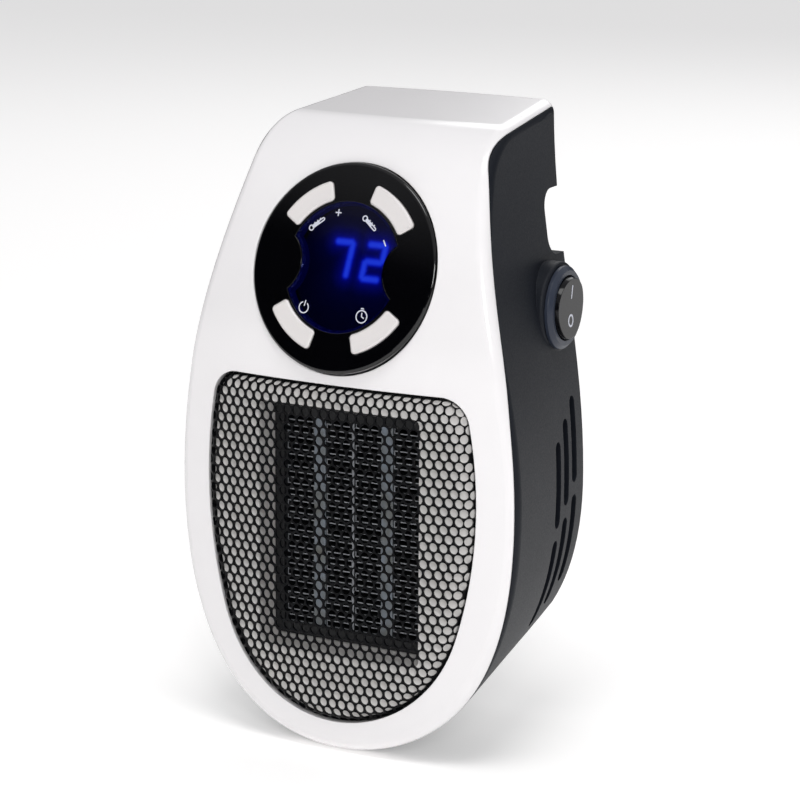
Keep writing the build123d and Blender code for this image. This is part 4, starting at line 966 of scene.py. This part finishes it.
grille = bpy.data.objects.new("grille_sheet", nodes["grille"].data.copy())
bpy.context.scene.collection.objects.link(grille)
grow(
    grille,
    punch,
    {
        "Fold Line": fold_guide,
        "Pitch": hole_pitch * mm,
        "Row Step": row_step * mm,
        "Hole Radius": hole_radius * mm,
        "Bend Radius": bend_radius * mm,
        "Crown Radius": crown_radius * mm,
        "Crown Axis": crown_axis_y * mm,
        "Last Turn": last_turn,
        "Coating": powder,
    },
)
bpy.data.objects.remove(fold_guide)
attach(grille, "case")
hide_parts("grille")


# Heater block: ceramic PTC stones in aluminium sleeves between folded fins, in a dark rim.
# The fins are blackened by coating, and only their cut edges show a dull metal line.
streak_depth = 0.004
soot_size = 0.8


def metal(name, tone, shade, rough, rough_spread, streak, stretch, soft):
    """Metal with brushed or rolled streaks: lengths in millimetres, stretch per axis."""
    made, tree = blank(name)
    place = put(tree, "ShaderNodeTexCoord").outputs["Object"]
    along = put(tree, "ShaderNodeMapping", {"Vector": place, "Scale": stretch})
    lines = put(
        tree,
        "ShaderNodeTexNoise",
        {"Vector": along.outputs[0], "Scale": 1 / (streak * mm), "Detail": 3.0},
    )
    tint = blend(tree, lines.outputs["Fac"], tone, shade)
    gloss = put(
        tree,
        "ShaderNodeMapRange",
        {
            "Value": lines.outputs["Fac"],
            "To Min": rough - rough_spread,
            "To Max": rough + rough_spread,
        },
    )
    edge = put(tree, "ShaderNodeBevel", {"Radius": soft * mm}, samples=bevel_samples)
    bump = put(
        tree,
        "ShaderNodeBump",
        {
            "Height": lines.outputs["Fac"],
            "Distance": streak_depth * mm,
            "Normal": edge.outputs["Normal"],
        },
    )
    surface(
        tree,
        {
            "Base Color": tint,
            "Roughness": gloss.outputs["Result"],
            "Metallic": 1.0,
            "Normal": bump.outputs["Normal"],
        },
    )
    return made


cut_edge_facing = -0.8
made, tree = blank("aluminium_blackened")
place = put(tree, "ShaderNodeTexCoord").outputs["Object"]
facing = put(
    tree,
    "ShaderNodeSeparateXYZ",
    {0: put(tree, "ShaderNodeNewGeometry").outputs["True Normal"]},
)
cut_edge = put(
    tree, "ShaderNodeMath", {0: facing.outputs["Y"], 1: cut_edge_facing}, operation="LESS_THAN"
)
soot = put(
    tree, "ShaderNodeTexNoise", {"Vector": place, "Scale": 1 / (soot_size * mm), "Detail": 3.0}
)
bare = blend(tree, soot.outputs["Fac"], "#D4D7DC", "#5A5E66")
tint = put(
    tree,
    "ShaderNodeMix",
    {0: cut_edge.outputs[0], 6: linear("#191A1D"), 7: bare},
    data_type="RGBA",
).outputs[2]
gloss = put(
    tree, "ShaderNodeMapRange", {"Value": soot.outputs["Fac"], "To Min": 0.5, "To Max": 0.7}
)
surface(
    tree,
    {
        "Base Color": tint,
        "Roughness": gloss.outputs["Result"],
        "Metallic": 0.4,
    },
)
dress(made, "heater_fins", "heater_divider")
dress(
    metal(
        "aluminium_anodised", "#A6B4C8", "#7E775F",
        rough=0.5, rough_spread=0.08, streak=3.0, stretch=(1.0, 1.0, 0.7), soft=0.15,
    ),
    "heater_bars",
)
dress(
    plastic(
        "phenolic_black", "#08090C", "#0D0F14",
        rough=0.45, rough_spread=0.06, grain=0.7, grain_depth=0.008, wave=10.0,
        wave_depth=0.01, soft=0.2,
    ),
    "heater_frame",
)
dress(
    metal(
        "brass_tinned", "#C9C6BC", "#B2A886",
        rough=0.3, rough_spread=0.08, streak=0.9, stretch=(1.0, 1.0, 0.2), soft=0.08,
    ),
    "heater_terminals",
    "switch_terminals",
)
dress(
    plastic(
        "steatite_cream", "#D9D2C2", "#CCC3B0",
        rough=0.6, rough_spread=0.06, grain=0.4, grain_depth=0.01, wave=6.0, wave_depth=0.01,
        soft=0.2,
    ),
    "thermal_cutoff",
)


# Rocker switch: black nylon bezel and barrel snapped into the flank, with a glossy key.
# The key carries the usual stroke for on and ring for off, printed in white.
dress(
    plastic(
        "nylon_black_satin", "#2A303D", "#303644",
        rough=0.36, rough_spread=0.05, grain=0.5, grain_depth=0.005, wave=9.0,
        wave_depth=0.006, soft=0.3, shine=0.3,
    ),
    "rocker_housing",
)
dress(
    plastic(
        "nylon_black_gloss", "#07080B", "#0A0B0F",
        rough=0.12, rough_spread=0.02, grain=0.6, grain_depth=0.001, wave=8.0,
        wave_depth=0.006, soft=0.25, shine=0.2,
    ),
    "rocker_key",
)
switch_turn, key_tilt = radians(5.7), radians(13.0)
switch_point = Vector((38.4, -15.0, -20.1)) * mm
mark_width = 0.5
switch_out = Vector((cos(switch_turn), sin(switch_turn), 0))
switch_side = Vector((-sin(switch_turn), cos(switch_turn), 0))
key_turn = Matrix.Rotation(-key_tilt, 3, switch_side)
key_out = key_turn @ switch_out
key_up = key_turn @ Vector((0, 0, 1))
marks = print_ink(
    "rocker_marks",
    [([(0, 1.7), (0, 4.9)], False), (ring(0, -3.7, 1.35), True)],
    mark_width,
    switch_point,
    switch_side,
    key_up,
    key_out,
    ("rocker_key",),
    ink,
    "rocker",
)


# Plug: black dial with two nickel-plated blades, held by a plate with four screws.
# Behind the dial two brass rings meet two sprung contacts, so the plug can turn.
dress(
    plastic(
        "abs_black_plug", "#1B1C1F", "#222327",
        rough=0.45, rough_spread=0.06, grain=0.5, grain_depth=0.01, wave=14.0,
        wave_depth=0.01, soft=0.3,
    ),
    "plug_dial",
    "plug_retainer",
)
dress(
    metal(
        "brass_nickel_plated", "#CFCBC2", "#BDB7AA",
        rough=0.24, rough_spread=0.06, streak=0.7, stretch=(1.0, 0.15, 1.0), soft=0.15,
    ),
    "plug_blades",
)
dress(
    metal(
        "brass_bare", "#C59A4E", "#AE8440",
        rough=0.3, rough_spread=0.08, streak=0.8, stretch=(1.0, 1.0, 0.3), soft=0.1,
    ),
    "plug_contacts",
    "plug_brushes",
)


# Fan: black PBT shroud and seven-blade wheel on a steel shaft, with a lacquered coil pack.
# Moulded parts are satin; the winding shows its turns of copper wire.
dress(
    plastic(
        "pbt_black", "#15161A", "#1C1D22",
        rough=0.4, rough_spread=0.05, grain=0.5, grain_depth=0.006, wave=10.0,
        wave_depth=0.008, soft=0.25,
    ),
    "fan_shroud",
    "fan_impeller",
)
dress(
    metal(
        "steel_ground", "#B9BABD", "#9C9DA2",
        rough=0.2, rough_spread=0.05, streak=0.4, stretch=(1.0, 0.1, 1.0), soft=0.1,
    ),
    "fan_shaft",
)
dress(
    metal(
        "bronze_sintered", "#8A6236", "#6E4D2A",
        rough=0.5, rough_spread=0.08, streak=0.3, stretch=(1.0, 1.0, 1.0), soft=0.1,
    ),
    "fan_bearing",
)
wire_pitch, wire_depth = 0.5, 0.15
bands_per_scale = 20
made, tree = blank("copper_winding")
place = put(tree, "ShaderNodeTexCoord").outputs["Object"]
turns = put(
    tree,
    "ShaderNodeTexWave",
    {"Vector": place, "Scale": 1 / (wire_pitch * mm) / bands_per_scale, "Distortion": 0.4},
    bands_direction="Y",
)
tint = blend(tree, turns.outputs["Fac"], "#6B2F16", "#B9683A")
wire = put(tree, "ShaderNodeBump", {"Height": turns.outputs["Fac"], "Distance": wire_depth * mm})
surface(
    tree,
    {
        "Base Color": tint,
        "Roughness": 0.3,
        "Metallic": 1.0,
        "Normal": wire.outputs["Normal"],
    },
)
dress(made, "fan_stator")


# Boards: green lacquered glass laminate with copper tracks; black and blue parts on top.
# The tracks are raised a little under the lacquer, so they show as lighter lines.
track_pitch, track_rise = 9.0, 0.03
made, tree = blank("laminate_green")
place = put(tree, "ShaderNodeTexCoord").outputs["Object"]
tracks = put(
    tree,
    "ShaderNodeTexBrick",
    {
        "Vector": place,
        "Color1": linear("#0E4A2C"),
        "Color2": linear("#11552F"),
        "Mortar": linear("#2C7A49"),
        "Scale": 1 / (track_pitch * mm),
        "Mortar Size": 0.05,
    },
)
raised = put(tree, "ShaderNodeBump", {"Height": tracks.outputs["Fac"], "Distance": track_rise * mm})
surface(
    tree,
    {
        "Base Color": tracks.outputs["Color"],
        "Roughness": 0.3,
        "IOR": 1.5,
        "Normal": raised.outputs["Normal"],
    },
)
dress(made, "control_board", "power_board")
dress(
    plastic(
        "epoxy_dark", "#14171D", "#1E2A44",
        rough=0.4, rough_spread=0.08, grain=0.4, grain_depth=0.008, wave=5.0,
        wave_depth=0.01, soft=0.2,
    ),
    "power_board_parts",
)
dress(
    plastic(
        "switch_black", "#121214", "#1B1B1E",
        rough=0.4, rough_spread=0.05, grain=0.4, grain_depth=0.006, wave=5.0,
        wave_depth=0.008, soft=0.15,
    ),
    "tact_switches",
)


# Leads: stranded copper in PVC, soldered at both ends; white and black run to the mains.
# The insulation is satin, with the faint ripple that the strands press into it.
black_leads = ("lead_plug_to_board", "lead_switch_to_board", "leads_fan")
white_leads = ("lead_plug_to_switch", "leads_heater", "leads_panel")
for tone, shade, label, names in (
    ("#1A1A1C", "#222225", "pvc_black", black_leads),
    ("#D8D6D2", "#CCC9C4", "pvc_white", white_leads),
):
    dress(plastic(
        label, tone, shade,
        rough=0.38, rough_spread=0.05, grain=0.6, grain_depth=0.01, wave=2.5,
        wave_depth=0.03, soft=0.05,
    ), *names)


# Screws: zinc-plated steel, pan head with a cross recess, thread-forming shank.
# All of one kind are stamped from one pattern, at the size and place of their CAD solids.
zinc = metal(
    "steel_zinc_plated", "#C3C6CA", "#A9ACB2",
    rough=0.28, rough_spread=0.08, streak=0.5, stretch=(1.0, 1.0, 1.0), soft=0.08,
)
screw_sides = 20
thread_pitch = 0.9
thread_depth_share = 0.16
recess_width_share = 0.34
recess_length_share = 1.25
recess_depth_share = 0.62
dome_share, dome_power = 0.22, 3.0
tip_share, tip_growth = 0.25, 5.0
head_segments, shank_segments = 4, 24
head_rim_share, shank_side_share = 0.98, 0.9
same_place = 1e-6

fastener, source = node_group(
    "screw",
    {
        "Places": "Geometry",
        "Head Radius": "Float",
        "Head Height": "Float",
        "Shank Radius": "Float",
        "Shank Length": "Float",
        "Thread Pitch": "Float",
        "Aim": "Vector",
        "Plating": "Material",
    },
)
head = put(
    fastener,
    "GeometryNodeMeshCylinder",
    {
        "Vertices": screw_sides,
        "Side Segments": head_segments,
        "Radius": source["Head Radius"],
        "Depth": source["Head Height"],
    },
    fill_type="NGON",
)
spot = put(fastener, "GeometryNodeInputPosition").outputs[0]
parts = put(fastener, "ShaderNodeSeparateXYZ", {0: spot}).outputs
share = sum_of(
    fastener, "ADD", sum_of(fastener, "DIVIDE", parts["Z"], source["Head Height"]), 0.5
)
drop = sum_of(
    fastener, "MULTIPLY", dome_share, sum_of(fastener, "POWER", share, dome_power)
)
narrow = sum_of(fastener, "SUBTRACT", 1.0, drop)
half_head = sum_of(fastener, "MULTIPLY", source["Head Height"], 0.5)
domed = put(
    fastener,
    "ShaderNodeCombineXYZ",
    {
        "X": sum_of(fastener, "MULTIPLY", parts["X"], narrow),
        "Y": sum_of(fastener, "MULTIPLY", parts["Y"], narrow),
        "Z": sum_of(fastener, "ADD", parts["Z"], half_head),
    },
)
head = put(
    fastener,
    "GeometryNodeSetPosition",
    {"Geometry": head.outputs["Mesh"], "Position": domed.outputs[0]},
)
bar_long = sum_of(fastener, "MULTIPLY", source["Head Radius"], recess_length_share)
bar_wide = sum_of(fastener, "MULTIPLY", source["Head Radius"], recess_width_share)
bar_deep = sum_of(fastener, "MULTIPLY", source["Head Height"], 2 * recess_depth_share)
bars = []
for size in ((bar_long, bar_wide), (bar_wide, bar_long)):
    bar = put(
        fastener,
        "GeometryNodeMeshCube",
        {
            "Size": put(
                fastener, "ShaderNodeCombineXYZ", {"X": size[0], "Y": size[1], "Z": bar_deep}
            ).outputs[0]
        },
    )
    up = put(fastener, "ShaderNodeCombineXYZ", {"Z": source["Head Height"]})
    bars.append(
        put(
            fastener,
            "GeometryNodeTransform",
            {"Geometry": bar.outputs["Mesh"], "Translation": up.outputs[0]},
        ).outputs[0]
    )
recess = head
for bar in bars:
    recess = put(
        fastener,
        "GeometryNodeMeshBoolean",
        {0: recess.outputs[0], 1: bar},
        operation="DIFFERENCE",
        solver="MANIFOLD",
    )
shank = put(
    fastener,
    "GeometryNodeMeshCylinder",
    {
        "Vertices": screw_sides,
        "Side Segments": shank_segments,
        "Radius": source["Shank Radius"],
        "Depth": source["Shank Length"],
    },
    fill_type="NGON",
)
spot = put(fastener, "GeometryNodeInputPosition").outputs[0]
parts = put(fastener, "ShaderNodeSeparateXYZ", {0: spot}).outputs
round_shank = sum_of(fastener, "ARCTAN2", parts["Y"], parts["X"])
lead = sum_of(fastener, "DIVIDE", source["Thread Pitch"], 2 * pi)
climb = sum_of(fastener, "ADD", parts["Z"], sum_of(fastener, "MULTIPLY", round_shank, lead))
wave = sum_of(
    fastener, "PINGPONG", sum_of(fastener, "DIVIDE", climb, source["Thread Pitch"]), 0.5
)
low = sum_of(
    fastener, "ADD", sum_of(fastener, "DIVIDE", parts["Z"], source["Shank Length"]), 0.5
)
cone = sum_of(fastener, "ADD", sum_of(fastener, "MULTIPLY", low, tip_growth), tip_share)
groove = sum_of(fastener, "MULTIPLY", wave, 2 * thread_depth_share)
narrow = sum_of(
    fastener,
    "MULTIPLY",
    sum_of(fastener, "SUBTRACT", 1.0, groove),
    sum_of(fastener, "MINIMUM", cone, 1.0),
)
half_shank = sum_of(fastener, "MULTIPLY", source["Shank Length"], 0.5)
threaded = put(
    fastener,
    "ShaderNodeCombineXYZ",
    {
        "X": sum_of(fastener, "MULTIPLY", parts["X"], narrow),
        "Y": sum_of(fastener, "MULTIPLY", parts["Y"], narrow),
        "Z": sum_of(fastener, "SUBTRACT", parts["Z"], half_shank),
    },
)
shank = put(
    fastener,
    "GeometryNodeSetPosition",
    {"Geometry": shank.outputs["Mesh"], "Position": threaded.outputs[0]},
)
one = put(fastener, "GeometryNodeJoinGeometry", {0: recess.outputs[0]})
fastener.links.new(shank.outputs[0], one.inputs[0])
facing = put(fastener, "FunctionNodeAlignRotationToVector", {"Vector": source["Aim"]}, axis="Z")
copies = put(
    fastener,
    "GeometryNodeInstanceOnPoints",
    {"Points": source["Places"], "Instance": one.outputs[0], "Rotation": facing.outputs[0]},
)
copies = put(fastener, "GeometryNodeRealizeInstances", {0: copies.outputs[0]})
plated = put(
    fastener,
    "GeometryNodeSetMaterial",
    {"Geometry": copies.outputs[0], "Material": source["Plating"]},
)
put(fastener, "NodeGroupOutput", {0: plated.outputs[0]})


def islands(name):
    """Points of each separate solid of a CAD node."""
    work = bmesh.new()
    work.from_mesh(nodes[name].data)
    bmesh.ops.remove_doubles(work, verts=work.verts, dist=same_place)
    left, found = set(work.verts), []
    while left:
        stack, group = [left.pop()], []
        while stack:
            vertex = stack.pop()
            group.append(vertex.co.copy())
            for edge in vertex.link_edges:
                other = edge.other_vert(vertex)
                if other in left:
                    left.remove(other)
                    stack.append(other)
        found.append(group)
    work.free()
    return found


def screw_sizes(points, axis):
    """Seat, aim, head radius and height, shank radius and length of one plain CAD screw."""
    along = [p.dot(axis) for p in points]
    low, high = min(along), max(along)
    flat_middle = sum((p - axis * p.dot(axis) for p in points), Vector()) / len(points)
    radii = [((p - axis * p.dot(axis)) - flat_middle).length for p in points]
    head_radius = max(radii)
    head_along = [a for a, r in zip(along, radii) if r > head_radius * head_rim_share]
    shank_radius = max(r for a, r in zip(along, radii) if r < head_radius * shank_side_share)
    outer = high if high - max(head_along) < same_place else low
    sign = 1.0 if outer == high else -1.0
    head_height = max(head_along) - min(head_along)
    seat = flat_middle + axis * (outer - sign * head_height)
    return seat, axis * sign, head_radius, head_height, shank_radius, high - low - head_height


depthwise = Vector((0, 1, 0))
for name, axis in (
    ("case_screws", depthwise),
    ("duct_screws", depthwise),
    ("fan_screws", depthwise),
    ("power_board_screws", depthwise),
    ("retainer_screws", depthwise),
    ("control_board_screws", panel_out),
):
    kinds = {}
    for points in islands(name):
        seat, aim, head_radius, head_height, shank_radius, length = screw_sizes(points, axis)
        key = tuple(round(v / mm, 2) for v in (head_radius, head_height, shank_radius, length))
        kinds.setdefault(key, []).append((seat, aim))
    meshes = []
    for key, found in kinds.items():
        holder = mesh_object("screw_places", [seat for seat, aim in found], [])
        grow(
            holder,
            fastener,
            {
                "Head Radius": key[0] * mm,
                "Head Height": key[1] * mm,
                "Shank Radius": key[2] * mm,
                "Shank Length": key[3] * mm,
                "Thread Pitch": thread_pitch * mm,
                "Aim": found[0][1],
                "Plating": zinc,
            },
        )
        meshes.append(holder)
    work = bmesh.new()
    for holder in meshes:
        work.from_mesh(holder.data)
        bpy.data.objects.remove(holder)
    mesh = bpy.data.meshes.new(name + "_cross")
    work.to_mesh(mesh)
    work.free()
    mesh.materials.append(zinc)
    screws = bpy.data.objects.new(name + "_cross", mesh)
    bpy.context.scene.collection.objects.link(screws)
    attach(screws, "case")
    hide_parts(name)
